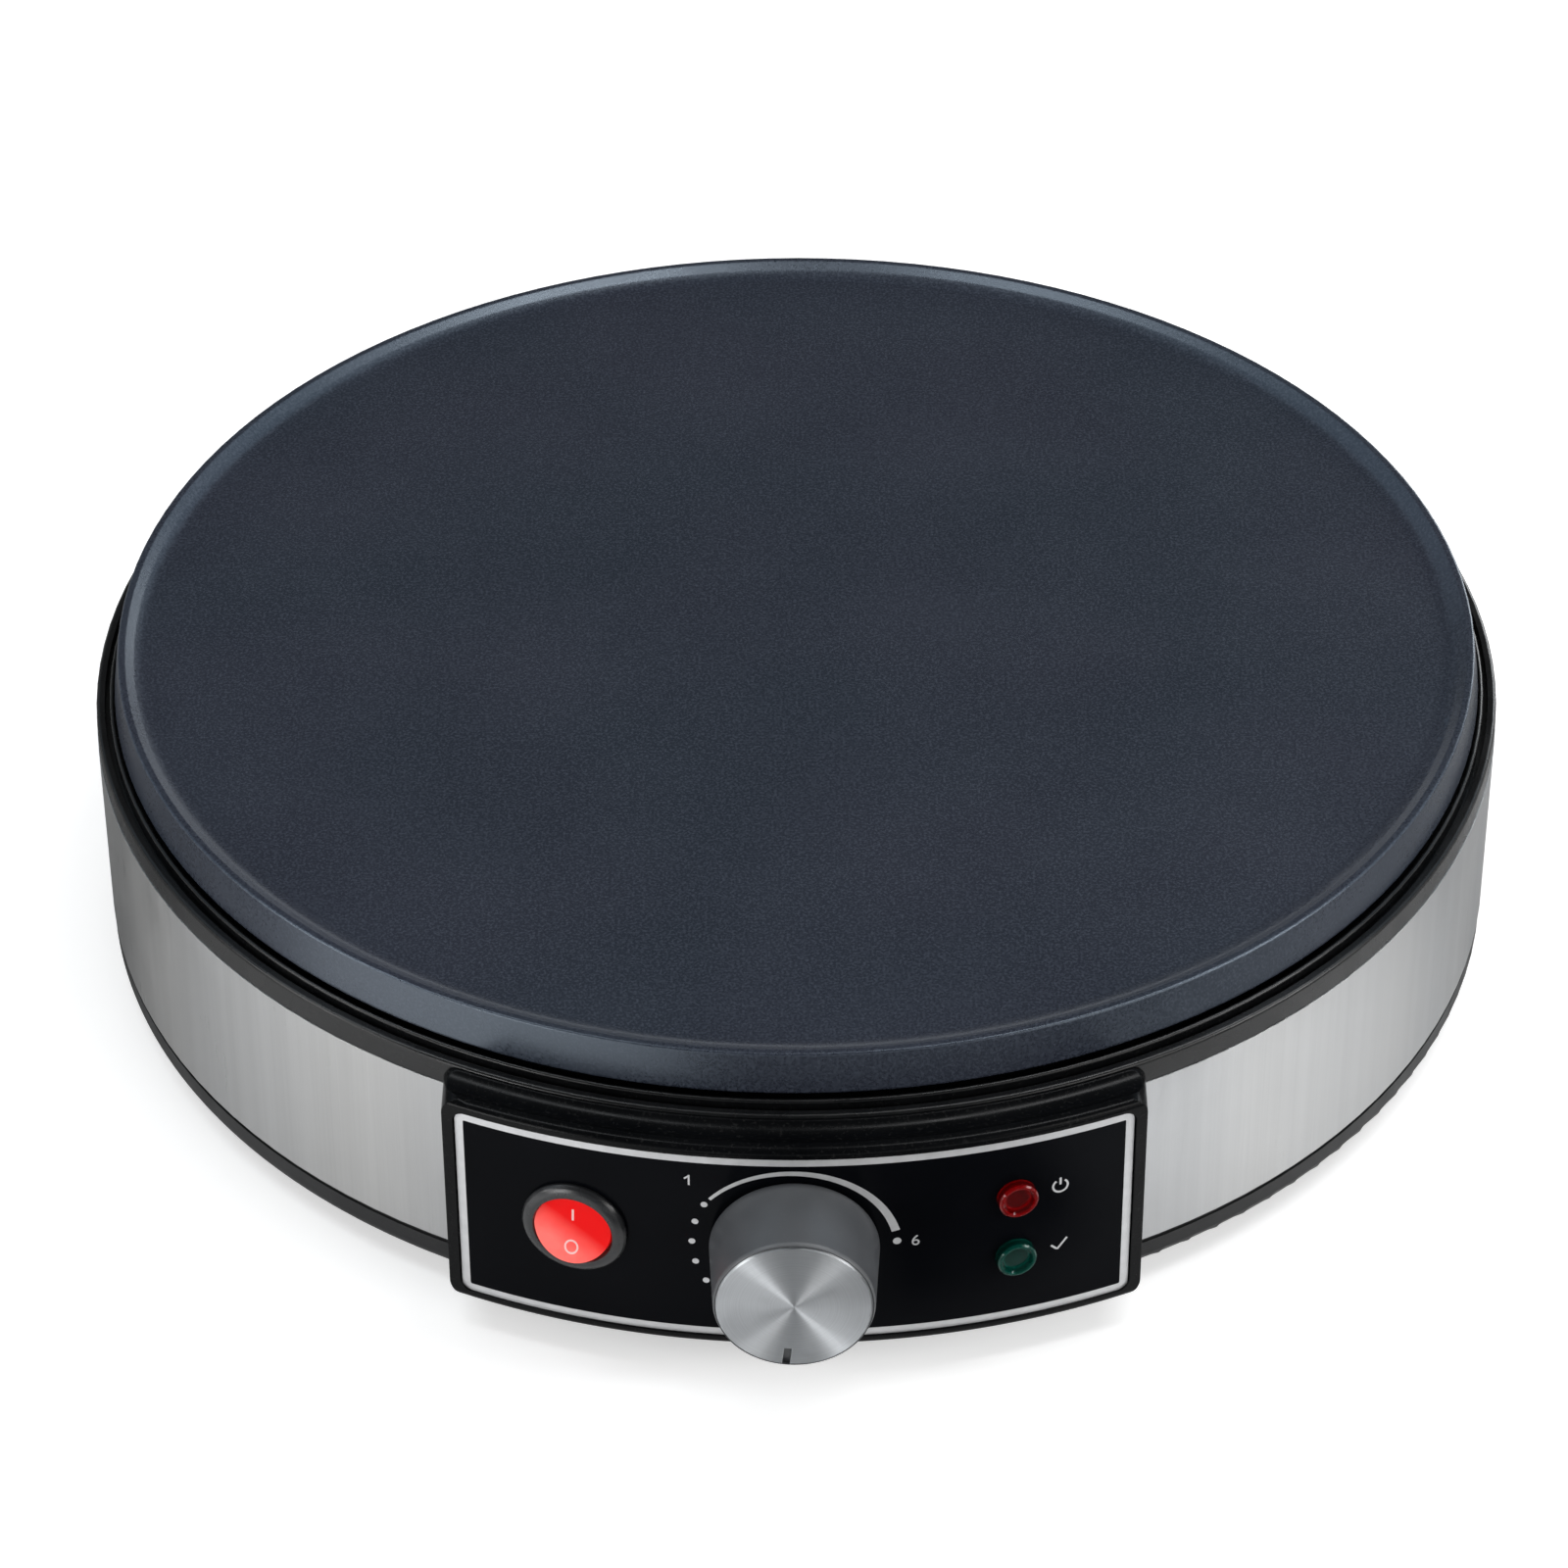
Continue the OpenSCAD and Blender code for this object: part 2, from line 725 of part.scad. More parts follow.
// The housing's outer section: a box with round front edges and a cove along its top
module housing_section() {
    difference() {
        union() {
            section(shell_in_r, frame_r - panel_edge_r, housing_z, housing_top_z);
            section(shell_in_r, frame_r, housing_z + panel_edge_r, housing_top_z - panel_edge_r);
            for (z = [housing_z + panel_edge_r, housing_top_z - panel_edge_r])
                translate([frame_r - panel_edge_r, z]) circle(r = panel_edge_r);
        }
        translate([shell_in_r + cove_reach, housing_top_z + cove_r - cove_deep]) circle(r = cove_r);
    }
}

// A block between two distances to either side of the middle, cut from the front of the drum
module both_sides(x0, x1, z0, z1) {
    for (side = [-1, 1])
        translate([side * (x0 + x1) / 2 - (x1 - x0) / 2, -lip_r - over, z0]) cube([x1 - x0, 60, z1 - z0]);
}

// The part of the housing that lies inside the steel band: two webs, each with a flange behind a band's end
module housing_flange() {
    intersection() {
        rotate_extrude() section(collar_in_r, shell_in_r + eps, band_z + clear, band_top_z - clear);
        both_sides(web_x - wall, web_x, 0, lip_z);
    }
    intersection() {
        rotate_extrude() section(collar_in_r, band_in_r - clear, 0, lip_z);
        both_sides(web_x - wall, flange_x, band_z + collar_h + clear, band_top_z - collar_h - clear);
    }
}

module housing_tabs() {
    intersection() {
        rotate_extrude() section(0, face_r - front_t + eps, 0, lip_z);
        for (x = [-tab_x, tab_x])
            translate([x - tab_w / 2, -face_r, tab_z]) cube([tab_w, face_r + tab_y, tab_t]);
    }
    for (x = [-tab_x, tab_x])
        translate([x, tab_y, tab_z]) cylinder(h = tab_boss_h, d = boss_d);
}

module panel_housing() {
    color("#141517") difference() {
        union() {
            difference() {
                intersection() {
                    rotate_extrude() housing_section();
                    panel_prism(panel_w, housing_h, panel_corner_r, panel_back, frame_r + over);
                }
                intersection() {
                    rotate_extrude()
                        section(
                            shell_in_r - over, face_r - front_t,
                            housing_z + wall, housing_top_z - wall - cove_deep
                        );
                    translate([wall - web_x, -frame_r, 0]) cube([2 * (web_x - wall), 60, lip_z]);
                }
            }
            housing_flange();
            housing_tabs();
        }
        for (x = [-tab_x, tab_x])
            translate([x, tab_y, tab_z - over])
                cylinder(h = tab_boss_h - over, d = panel_screw_d + slip);
        intersection() {
            rotate_extrude() section(face_r - fascia_t - slip, frame_r + over, 0, crest_z);
            panel_prism(
                fascia_w + 2 * slip, fascia_h + 2 * slip, fascia_corner_r,
                panel_back, frame_r + 2 * over
            );
        }
        control_holes();
    }
}

module panel_screws() {
    color("#8d9093")
        for (x = [-tab_x, tab_x])
            translate([x, tab_y, base_z + screw_head_t])
                screw(
                    panel_screw_d, screw_head_d, screw_head_t,
                    tab_z + tab_boss_h - 3 * over - base_z - screw_head_t
                );
}

module panel_fascia() {
    color("#0b0c0e") difference() {
        intersection() {
            rotate_extrude() section(face_r - fascia_t, face_r, 0, crest_z);
            panel_prism(fascia_w, fascia_h, fascia_corner_r, panel_back, frame_r + over);
        }
        control_holes();
    }
}

// ---- Switch ----

module switch_body() {
    color("#1d1e20")
        on_panel(-switch_x, control_z)
            difference() {
                union() {
                    bar(bezel_steps[2], bezel_h, bezel_d - bezel_cut[1], bezel_d - bezel_cut[2]);
                    bar(bezel_steps[1], bezel_steps[2], bezel_d - bezel_cut[0], bezel_d - bezel_cut[1]);
                    bar(bezel_steps[0], bezel_steps[1], bezel_d, bezel_d - bezel_cut[0]);
                    bar(slip, bezel_steps[0] + eps, bezel_d);
                    bar(-barrel_depth, slip + eps, barrel_d);
                }
                bar(-barrel_depth + barrel_floor, bezel_h + over, 2 * cavity_r);
                translate([-barrel_d, -pivot_out, 0])
                    rotate([0, 90, 0]) cylinder(h = 2 * barrel_d, d = pivot_d + 2 * slip);
                for (z = [0, -blade_pitch])
                    translate([
                        -blade_w / 2 - slip,
                        barrel_depth - barrel_floor - over,
                        z - blade_t / 2 - slip
                    ])
                        cube([blade_w + 2 * slip, barrel_floor + 2 * over, blade_t + 2 * slip]);
            }
}

// Turns children about the rocker's pivot: positive lifts the lower end in and the upper end out
module about_pivot(turn) {
    translate([0, -pivot_out, 0]) rotate([turn, 0, 0]) translate([0, pivot_out, 0]) children();
}

module switch_rocker() {
    color("#e02020")
        on_panel(-switch_x, control_z)
            about_pivot(-rocker_turn / 2)
                difference() {
                    union() {
                        intersection() {
                            about_pivot(rocker_turn / 2) bar(rocker_back_out - 2, 12, rocker_d);
                            about_pivot(-rocker_turn / 2) bar(rocker_back_out - 2, 12, rocker_d);
                            bar(rocker_back_out, 6, rocker_d);
                        }
                        bar(-nose_l - 1, 0, 2 * nose_r);
                        translate([0, nose_l - pivot_out, 0]) sphere(r = nose_r);
                        translate([-barrel_d / 2 + slip, -pivot_out, 0])
                            rotate([0, 90, 0]) cylinder(h = barrel_d - 2 * slip, d = pivot_d);
                    }
                    translate([-barrel_d, -rocker_face_out - rocker_hollow_r, 0])
                        rotate([0, 90, 0]) cylinder(h = 2 * barrel_d, r = rocker_hollow_r);
                    difference() {
                        bar(rocker_back_out - over, -pivot_d / 2 + pivot_out, rocker_d - 2 * rocker_wall - 1);
                        bar(rocker_back_out - 2 * over, 0, 2 * nose_r + 1);
                    }
                }
}

module switch_contact() {
    color("#c8a24a")
        on_panel(-switch_x, control_z)
            translate([0, -contact_out, 0])
                rotate([contact_turn, 0, 0])
                    translate([-contact_w / 2, -contact_t / 2, -contact_l / 2])
                        cube([contact_w, contact_t, contact_l]);
}

module switch_terminals() {
    tip = -contact_out + contact_t / 2 + clear;
    low = -contact_out + contact_t / 2 + (contact_disc_d / 2 - fixed_z) * tan(contact_turn) + clear;
    color("#c9b27a")
        on_panel(-switch_x, control_z) {
            translate([-blade_w / 2, tip, -blade_t / 2])
                cube([blade_w, barrel_depth + blade_out - tip, blade_t]);
            translate([-blade_w / 2, low + 1.2, -blade_pitch - blade_t / 2])
                cube([blade_w, barrel_depth + blade_out - low - 1.2, blade_t]);
            translate([-blade_w / 2, low + 0.4, -blade_pitch - blade_t / 2])
                cube([blade_w, 1, blade_pitch + fixed_z + 2]);
            translate([0, low + 0.4 + eps, fixed_z]) rotate([90, 0, 0])
                cylinder(h = 0.4 + eps, d = contact_disc_d);
        }
}

// ---- Knob and thermostat ----

module knob_skirt() {
    color("#4a4d52")
        on_panel(0, control_z)
            difference() {
                union() {
                    bar(knob_gap, knob_h - cap_rise - 1, knob_d, knob_front_d);
                    bar(knob_h - cap_rise - 1 - eps, knob_h - cap_rise, knob_front_d, knob_front_d - 0.8);
                }
                bar(knob_h - cap_t, knob_h + over, cap_d + 2 * slip);
                difference() {
                    bar(knob_gap - over, knob_h - knob_face_t, knob_d - 2 * knob_wall - 2);
                    bar(knob_gap - 2 * over, knob_h, 2 * hub_r);
                }
                difference() {
                    bar(knob_gap - over, hub_deep, spindle_d + 2 * spindle_gap);
                    translate([-spindle_d, -hub_deep - over, spindle_d / 2 - flat_depth + spindle_gap])
                        cube([2 * spindle_d, hub_deep + over - knob_gap - 1, spindle_d]);
                }
            }
}

module knob_cap() {
    color("#c2c5c9")
        on_panel(0, control_z)
            difference() {
                union() {
                    bar(knob_h - cap_t + eps, knob_h - 0.4, cap_d);
                    bar(knob_h - 0.4 - eps, knob_h, cap_d, cap_d - 0.8);
                }
                rotate([0, pointer_rest, 0])
                    translate([-pointer_w / 2, -knob_h - over, -cap_d / 2 - over])
                        cube([pointer_w, cap_t + 2 * over, pointer_l + over]);
            }
}

module thermostat_spindle() {
    color("#b4b7ba")
        on_panel(0, control_z)
            difference() {
                bar(-spindle_back, spindle_front, spindle_d);
                translate([-spindle_d, -spindle_front - over, spindle_d / 2 - flat_depth])
                    cube([2 * spindle_d, flat_l + over, spindle_d]);
            }
}

module thermostat_bush() {
    color("#c7a455")
        on_panel(0, control_z)
            difference() {
                union() {
                    bar(-bracket_back - bush_flange_t, -bracket_back, bush_flange_d);
                    bar(-bracket_back - eps, -bush_front, bush_d);
                }
                bar(-bracket_back - 2 * bush_flange_t, over, spindle_d + 2 * spindle_gap);
            }
}

module thermostat_nut() {
    color("#c9ccd0")
        on_panel(0, control_z)
            translate([0, bracket_back - bracket_t, 0])
                rotate([90, 0, 0]) hex_nut(nut_d, nut_t, bush_d + 2 * slip);
}

module thermostat_bracket() {
    back_y = -face_r + bracket_back;
    color("#a9adb0") difference() {
        union() {
            translate([-bracket_w / 2, back_y - bracket_t, control_z - bracket_below])
                cube([bracket_w, bracket_t, bracket_top_z - control_z + bracket_below]);
            translate([-bracket_w / 2, back_y - bracket_t, bracket_top_z - bracket_t])
                cube([bracket_w, bracket_boss_y - back_y + bracket_t + bracket_boss_d / 2, bracket_t]);
        }
        on_panel(0, control_z) bar(-bracket_back - over, -bracket_back + bracket_t + over, bush_d + 2 * slip);
        on_panel(0, control_z + stack_lift)
            bar(-bracket_back - over, -bracket_back + bracket_t + over, rivet_d + 2 * slip);
        translate([0, bracket_boss_y, bracket_top_z - bracket_t - over])
            cylinder(h = bracket_t + 2 * over, d = small_screw_d + 2 * slip);
    }
}

module thermostat_stack() {
    starts = concat([bracket_back], [for (d = leaf_depths) d + leaf_t]);
    ends = concat(leaf_depths, [stack_deep]);
    color("#e6e1d4")
        on_panel(0, control_z + stack_lift)
            for (i = [0 : len(starts) - 1])
                difference() {
                    bar(-ends[i], -starts[i], stack_d);
                    bar(-stack_deep - over, 0, rivet_d + 2 * slip);
                }
}

module thermostat_leaves() {
    color("#b88f55")
        on_panel(0, control_z)
            for (i = [0 : len(leaf_depths) - 1])
                difference() {
                    translate([-leaf_w / 2, leaf_depths[i], -4])
                        cube([leaf_w, leaf_t, stack_lift + stack_d / 2 + 5 + leaf_step * i]);
                    translate([0, 0, stack_lift])
                        bar(-stack_deep, -bracket_back, rivet_d + 2 * slip);
                }
}

module stack_rivet() {
    color("#c9ccd0")
        on_panel(0, control_z + stack_lift) {
            bar(-stack_deep, -bracket_back + bracket_t, rivet_d);
            bar(-stack_deep - 1.2, -stack_deep, rivet_head_d);
            bar(-bracket_back + bracket_t, -bracket_back + bracket_t + 1.2, rivet_head_d);
        }
}

// ---- Lamps ----

module lens() {
    difference() {
        union() {
            bar(lens_h - lens_edge, lens_h, lens_d, lens_d - 2 * lens_edge);
            bar(slip, lens_h - lens_edge + eps, lens_d);
            bar(-stem_deep, slip + eps, stem_d);
        }
        bar(lens_h - lens_dish, lens_h + eps, lens_d - 2 * lens_floor_in, lens_d - 2 * lens_rim_w);
    }
}

module power_lens() {
    color("#b01010") on_panel(lamp_x, lamp_tops[0]) lens();
}

module ready_lens() {
    color("#0a6b45") on_panel(lamp_x, lamp_tops[1]) lens();
}

module lamp_sleeves() {
    seat = -front_t - clear;
    color("#e3e0d8")
        for (z = lamp_tops)
            on_panel(lamp_x, z)
                difference() {
                    bar(seat - sleeve_l, seat, sleeve_d);
                    bar(-stem_deep - slip, over, stem_d + 2 * slip);
                    bar(seat - sleeve_l - over, over, neon_d + 4 * slip);
                }
}

module neon_lamps() {
    color("#f2b27a")
        for (z = lamp_tops)
            on_panel(lamp_x, z) {
                bar(-stem_deep - neon_l, -stem_deep - 1.5, neon_d);
                translate([0, stem_deep + neon_d / 2 + slip, 0]) sphere(d = neon_d);
            }
}

// ---- Fuse, terminal block, cord outlet ----

module thermal_fuse() {
    color("#d9d4c4")
        translate([fuse_x, fuse_y - fuse_l / 2, fuse_z])
            rotate([-90, 0, 0]) {
                cylinder(h = fuse_l, d = fuse_d - 0.4);
                translate([0, 0, fuse_l - fuse_cap_l]) cylinder(h = fuse_cap_l, d = fuse_d);
                cylinder(h = fuse_cap_l, d = fuse_d);
                translate([0, 0, -fuse_lead_l]) cylinder(h = fuse_l + 2 * fuse_lead_l, d = 1);
            }
}

module fuse_clip() {
    color("#b5b8ba") difference() {
        translate([fuse_x - fuse_d / 2 - 1, fuse_y - 4, fuse_clip_z])
            cube([fuse_boss_x + fuse_d / 2 + 1 + clip_boss_d / 2, 8, clip_t]);
        translate([fuse_x + fuse_boss_x, fuse_y, fuse_clip_z - over])
            cylinder(h = clip_t + 2 * over, d = small_screw_d + 2 * slip);
    }
}

module terminal_block() {
    color("#e8e4da") difference() {
        translate([-block_w / 2, block_y - block_l / 2, floor_z]) cube([block_w, block_l, block_h]);
        for (i = [-1 : 1]) {
            translate([i * pole_pitch, block_y, floor_z + block_h - 4])
                cylinder(h = 5, d = block_screw_d + 4 * slip);
            translate([i * pole_pitch, block_y - block_l, floor_z + block_hole_z])
                rotate([-90, 0, 0]) cylinder(h = 2 * block_l, d = block_hole_d);
        }
    }
}

module terminal_screws() {
    color("#b9bbbd")
        for (i = [-1 : 1])
            translate([i * pole_pitch, block_y, floor_z + block_h - 4])
                difference() {
                    cylinder(h = 2.4, d = block_screw_d);
                    translate([-block_screw_d / 2, -0.5, 1.4]) cube([block_screw_d, 1, 2]);
                }
}

module cord_gland() {
    color("#202123")
        translate([0, 0, gland_z])
            rotate([-90, 0, 0])
                difference() {
                    union() {
                        translate([0, 0, band_r + slip]) cylinder(h = gland_flange_t, d = gland_flange_d);
                        translate([0, 0, collar_in_r - gland_tail])
                            cylinder(h = band_r + slip + eps - collar_in_r + gland_tail, d = gland_d);
                        translate([0, 0, gland_lock_y - gland_lock_t])
                            cylinder(h = gland_lock_t, d = gland_flange_d);
                    }
                    translate([0, 0, collar_in_r - gland_tail - over])
                        cylinder(h = 60, d = gland_bore_d);
                }
}

module cord_clamp() {
    z0 = floor_z + clamp_post_h;
    color("#2a2b2d")
        difference() {
            union() {
                translate([-clamp_pitch / 2 - clamp_w / 2, clamp_y - clamp_w / 2, z0])
                    cube([clamp_pitch + clamp_w, clamp_w, clamp_t]);
                translate([0, clamp_y + clamp_w / 2, z0])
                    rotate([90, 0, 0]) cylinder(h = clamp_w, r = clamp_arch_r + clamp_t);
            }
            translate([0, clamp_y + clamp_w, z0])
                rotate([90, 0, 0]) cylinder(h = 2 * clamp_w, r = clamp_arch_r);
            translate([-20, clamp_y - clamp_w, z0 - 20]) cube([40, 2 * clamp_w, 20]);
            for (x = [-1, 1])
                translate([x * clamp_pitch / 2, clamp_y, z0 - over])
                    cylinder(h = clamp_t + 2 * over, d = panel_screw_d + 2 * slip);
        }
}

module clamp_screws() {
    z0 = floor_z + clamp_post_h + clamp_t;
    color("#8d9093")
        for (x = [-1, 1])
            translate([x * clamp_pitch / 2, clamp_y, z0])
                rotate([180, 0, 0]) screw(panel_screw_d, 6, 2, clamp_t + 8);
}

// ---- Wiring ----

// A point on a cubic curve with four control points
function curve(p, t) =
    pow(1 - t, 3) * p[0] + 3 * t * pow(1 - t, 2) * p[1] + 3 * t * t * (1 - t) * p[2] + pow(t, 3) * p[3];
function unit(v) = v / norm(v);

// A wire of round section along a curve, as one closed tube
module wire(p, d = wire_d, rings = 18, sides = 8) {
    pts = [for (i = [0 : rings]) curve(p, i / rings)];
    aim = [for (i = [0 : rings]) unit(pts[min(i + 1, rings)] - pts[max(i - 1, 0)])];
    side = [for (a = aim) unit(cross(a, [0.31, 0.17, 0.94]))];
    ring = [for (i = [0 : rings], k = [0 : sides - 1])
        pts[i] + d / 2 * (cos(360 * k / sides) * side[i] + sin(360 * k / sides) * cross(aim[i], side[i]))];
    walls = [for (i = [0 : rings - 1], k = [0 : sides - 1])
        [i * sides + k, (i + 1) * sides + k, (i + 1) * sides + (k + 1) % sides, i * sides + (k + 1) % sides]];
    ends = [[for (k = [0 : sides - 1]) k], [for (k = [0 : sides - 1]) (rings + 1) * sides - 1 - k]];
    polyhedron(ring, concat(walls, ends));
}

// Points where the wires end. back moves a point away from its terminal, along the wire.
switch_at = -switch_x / face_r * 180 / PI;
lamp_at = lamp_x / face_r * 180 / PI;
blade_tip = face_r - barrel_depth - blade_out - wire_gap;
neon_back = face_r - stem_deep - neon_l - wire_gap;
function behind_panel(at, r, z) = [r * sin(at), -r * cos(at), z];
function blade_end(dz, back = 0) = behind_panel(switch_at, blade_tip - back, control_z + dz);
function lamp_end(k, side, back = 0) =
    behind_panel(lamp_at + side * 0.5, neon_back - back, lamp_tops[k]);
function pole(i, back = 0) =
    [i * pole_pitch, block_y - block_l / 2 - wire_gap - back, floor_z + block_hole_z];
function leaf_end(i, side, back = 0) =
    [side * (leaf_w / 2 + tab_gap + back), -face_r + leaf_depths[i] + leaf_t / 2, control_z + leaf_wire_z];
tab_reach = pin_l + pin_tab_l + tab_gap;
tab_turn = 90 - element_gap / 2;
function pin_end(side, back = 0) = [
    side * (element_ring_r * cos(tab_turn) - (tab_reach + back) * sin(tab_turn)),
    element_ring_r * sin(tab_turn) + (tab_reach + back) * cos(tab_turn), element_z
];
function fuse_end(side, back = 0) =
    [fuse_x, fuse_y + side * (fuse_l / 2 + fuse_lead_l + wire_gap + back), fuse_z];

// Crimp caps: the place of each, the way its mouth faces along Y, and the wires' places in the mouth
module crimp_caps() {
    color("#d8d6cc")
        for (c = caps)
            translate(c[0])
                rotate([-90 * c[1], 0, 0])
                    difference() {
                        translate([0, 0, -cap_l]) cylinder(h = cap_l, d = crimp_d);
                        translate([0, 0, -cap_mouth_l]) cylinder(h = cap_mouth_l + over, d = crimp_d - 1.6);
                    }
}

function in_cap(k, i, back = 0) =
    caps[k][0]
    + [cap_spread * cos(90 * i + 45), caps[k][1] * (wire_gap + back), cap_spread * sin(90 * i + 45)];

module wiring() {
    color("#b33a2c") {
        wire([pole(-1), [-84, 60, 16], blade_end(-blade_pitch, 60), blade_end(-blade_pitch)], rings = 28);
        wire([blade_end(0), blade_end(0, 22), in_cap(0, 2, 24), in_cap(0, 2)]);
        wire([in_cap(0, 0), in_cap(0, 0, 12), leaf_end(0, -1, 12), leaf_end(0, -1)]);
        wire([leaf_end(2, -1), leaf_end(2, -1, 20) + [0, 0, 12], fuse_end(-1, 34) - [0, 0, 9], fuse_end(-1)]);
        wire(
            [fuse_end(1), fuse_end(1, 60) - [0, 0, 14], pin_end(-1, 13) - [0, 0, 7], pin_end(-1)],
            rings = 24
        );
    }
    color("#2c5fb3") {
        wire([pole(1), pole(1, 60), in_cap(1, 2, 90), in_cap(1, 2)]);
        wire([pin_end(1), pin_end(1, 14) + [0, 14, -16], in_cap(1, 1, 120) + [10, 0, 0], in_cap(1, 1)],
             rings = 28);
    }
    color("#3d8a4a") wire([pole(0), pole(0, 24), [earth_x, earth_y, 30], [earth_x, earth_y, earth_z]]);
    color("#d8d4c8") {
        wire([lamp_end(0, -1), lamp_end(0, -1, 30), in_cap(0, 3, 40) - [0, 0, 10], in_cap(0, 3)], lead_d);
        wire([lamp_end(1, -1), lamp_end(1, -1, 20), leaf_end(1, 1, 16), leaf_end(1, 1)], lead_d);
        wire([lamp_end(0, 1), lamp_end(0, 1, 90) + [30, 0, -14], in_cap(1, 0, 56) + [8, 0, 6], in_cap(1, 0)],
             lead_d, rings = 28);
        wire([lamp_end(1, 1), lamp_end(1, 1, 90) + [34, 0, -6], in_cap(1, 3, 50) + [12, 0, -6], in_cap(1, 3)],
             lead_d, rings = 28);
    }
}

griddle_plate();
heating_element();
element_pins();
element_clips();
plate_screws();
heat_shield();
plate_studs();
stud_spacers();
stud_nuts();
trim_ring();
steel_band();
base_pan();
rubber_feet();
drum_screws();
panel_housing();
panel_screws();
panel_fascia();
switch_body();
switch_rocker();
switch_contact();
switch_terminals();
knob_skirt();
knob_cap();
thermostat_spindle();
thermostat_bush();
thermostat_nut();
thermostat_bracket();
thermostat_stack();
thermostat_leaves();
stack_rivet();
power_lens();
ready_lens();
lamp_sleeves();
neon_lamps();
thermal_fuse();
fuse_clip();
terminal_block();
terminal_screws();
cord_gland();
cord_clamp();
clamp_screws();
crimp_caps();
wiring();
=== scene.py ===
"""The looks of an electric crepe maker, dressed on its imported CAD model.

The CAD nodes keep their shapes and get their finishes here. The printing on the panel and the
marks on the rocker are pieces of this script's own.
"""

import logging
import math
from collections.abc import Callable, Sequence
from dataclasses import dataclass
from enum import Enum
from typing import Any

import bpy
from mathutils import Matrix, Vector
from mathutils.bvhtree import BVHTree


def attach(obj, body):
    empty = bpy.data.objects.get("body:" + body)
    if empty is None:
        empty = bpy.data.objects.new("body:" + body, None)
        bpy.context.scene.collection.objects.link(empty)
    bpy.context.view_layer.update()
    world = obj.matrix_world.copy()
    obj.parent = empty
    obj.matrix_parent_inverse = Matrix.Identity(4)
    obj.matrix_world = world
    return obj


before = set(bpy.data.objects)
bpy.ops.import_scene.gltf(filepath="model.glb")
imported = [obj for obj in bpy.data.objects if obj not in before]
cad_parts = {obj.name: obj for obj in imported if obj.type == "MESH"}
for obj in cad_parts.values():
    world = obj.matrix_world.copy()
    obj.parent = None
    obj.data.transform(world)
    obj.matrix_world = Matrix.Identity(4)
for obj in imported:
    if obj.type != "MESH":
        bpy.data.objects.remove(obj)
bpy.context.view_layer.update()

MM = 0.001
Colour = tuple[float, float, float]
Point2 = tuple[float, float]
Point3 = tuple[float, float, float]
Span = tuple[float, float]
Socket = bpy.types.NodeSocket
Material = bpy.types.Material
Piece = bpy.types.Object

FACE_R = 175.0 * MM
CONTROL_Z = 37.05 * MM
log = logging.getLogger("crepe_maker")


def rgb(red: int, green: int, blue: int) -> Colour:
    """A colour of three display values from 0 to 255, in Blender's linear values."""

    def linear(value: int) -> float:
        """One display value as a linear one."""
        share = value / 255
        return share / 12.92 if share <= 0.04045 else ((share + 0.055) / 1.055) ** 2.4

    return linear(red), linear(green), linear(blue)


class Body(Enum):
    """The bodies that the printed pieces ride on."""

    DRUM = "drum"
    ROCKER = "rocker"


class Grain(Enum):
    """The way a surface's fine lines run, as how tightly they pack along each axis."""

    EVEN = (1.0, 1.0, 1.0)
    UPRIGHT = (1.0, 1.0, 0.012)


# ---- material recipes


class NodeTree:
    """A node tree that is built up a step at a time."""

    def __init__(self, tree: bpy.types.NodeTree) -> None:
        """Empties a material's or a world's node tree and takes it in hand."""
        self.tree = tree
        self.tree.nodes.clear()

    def feed(self, socket: Socket, value: Any) -> None:
        """Gives an input socket its value: another node's output, or a constant."""
        if isinstance(value, Socket):
            self.tree.links.new(value, socket)
        else:
            socket.default_value = value

    def node(
        self, kind: str, inputs: dict[Any, Any] | None = None, **settings: Any
    ) -> bpy.types.Node:
        """Adds a node.

        Args:
            kind: the node's type, without the word ShaderNode.
            inputs: values for its input sockets, by name or number.
            settings: its own properties.
        """
        made = self.tree.nodes.new("ShaderNode" + kind)
        for key, value in settings.items():
            setattr(made, key, value)
        for key, value in (inputs or {}).items():
            self.feed(made.inputs[key], value)
        return made

    def math(self, operation: str, first: Any, second: Any = 0.0) -> Socket:
        """One arithmetic step on two values."""
        return self.node("Math", {0: first, 1: second}, operation=operation).outputs[0]

    def times(self, first: Any, second: Any) -> Socket:
        """Two values multiplied."""
        return self.math("MULTIPLY", first, second)

    def mix(self, share: Any, first: Any, second: Any) -> Socket:
        """Two numbers mixed, by a share from 0 to 1 of the second."""
        return self.node("Mix", {0: share, 2: first, 3: second}).outputs[0]

    def vector(self, operation: str, first: Any, second: Any = (0.0, 0.0, 0.0)) -> Socket:
        """One step on two directions that gives a number, such as their likeness."""
        inputs = {0: first, 1: second}
        return self.node("VectorMath", inputs, operation=operation).outputs["Value"]

    def spread(
        self, value: Any, low: float, high: float, start: float = 0.3, end: float = 0.7
    ) -> Socket:
        """A value moved from its old range to the one from low to high, and held in it."""
        return self.node("MapRange", {0: value, 1: start, 2: end, 3: low, 4: high}).outputs[0]

    def blend(self, share: Any, first: Any, second: Any) -> Socket:
        """Two colours, or nodes' outputs, mixed by a share from 0 to 1 of the second."""
        made = self.node("Mix", {0: share}, data_type="RGBA")
        for number, colour in ((6, first), (7, second)):
            given = (*colour, 1.0) if isinstance(colour, tuple) else colour
            self.feed(made.inputs[number], given)
        return made.outputs[2]

    def looked_at(self) -> Socket:
        """1 for rays that look at the background: straight, mirrored or through plastic."""
        path = self.node("LightPath").outputs
        both = self.math("MAXIMUM", path["Is Camera Ray"], path["Is Glossy Ray"])
        return self.math("MAXIMUM", both, path["Is Transmission Ray"])


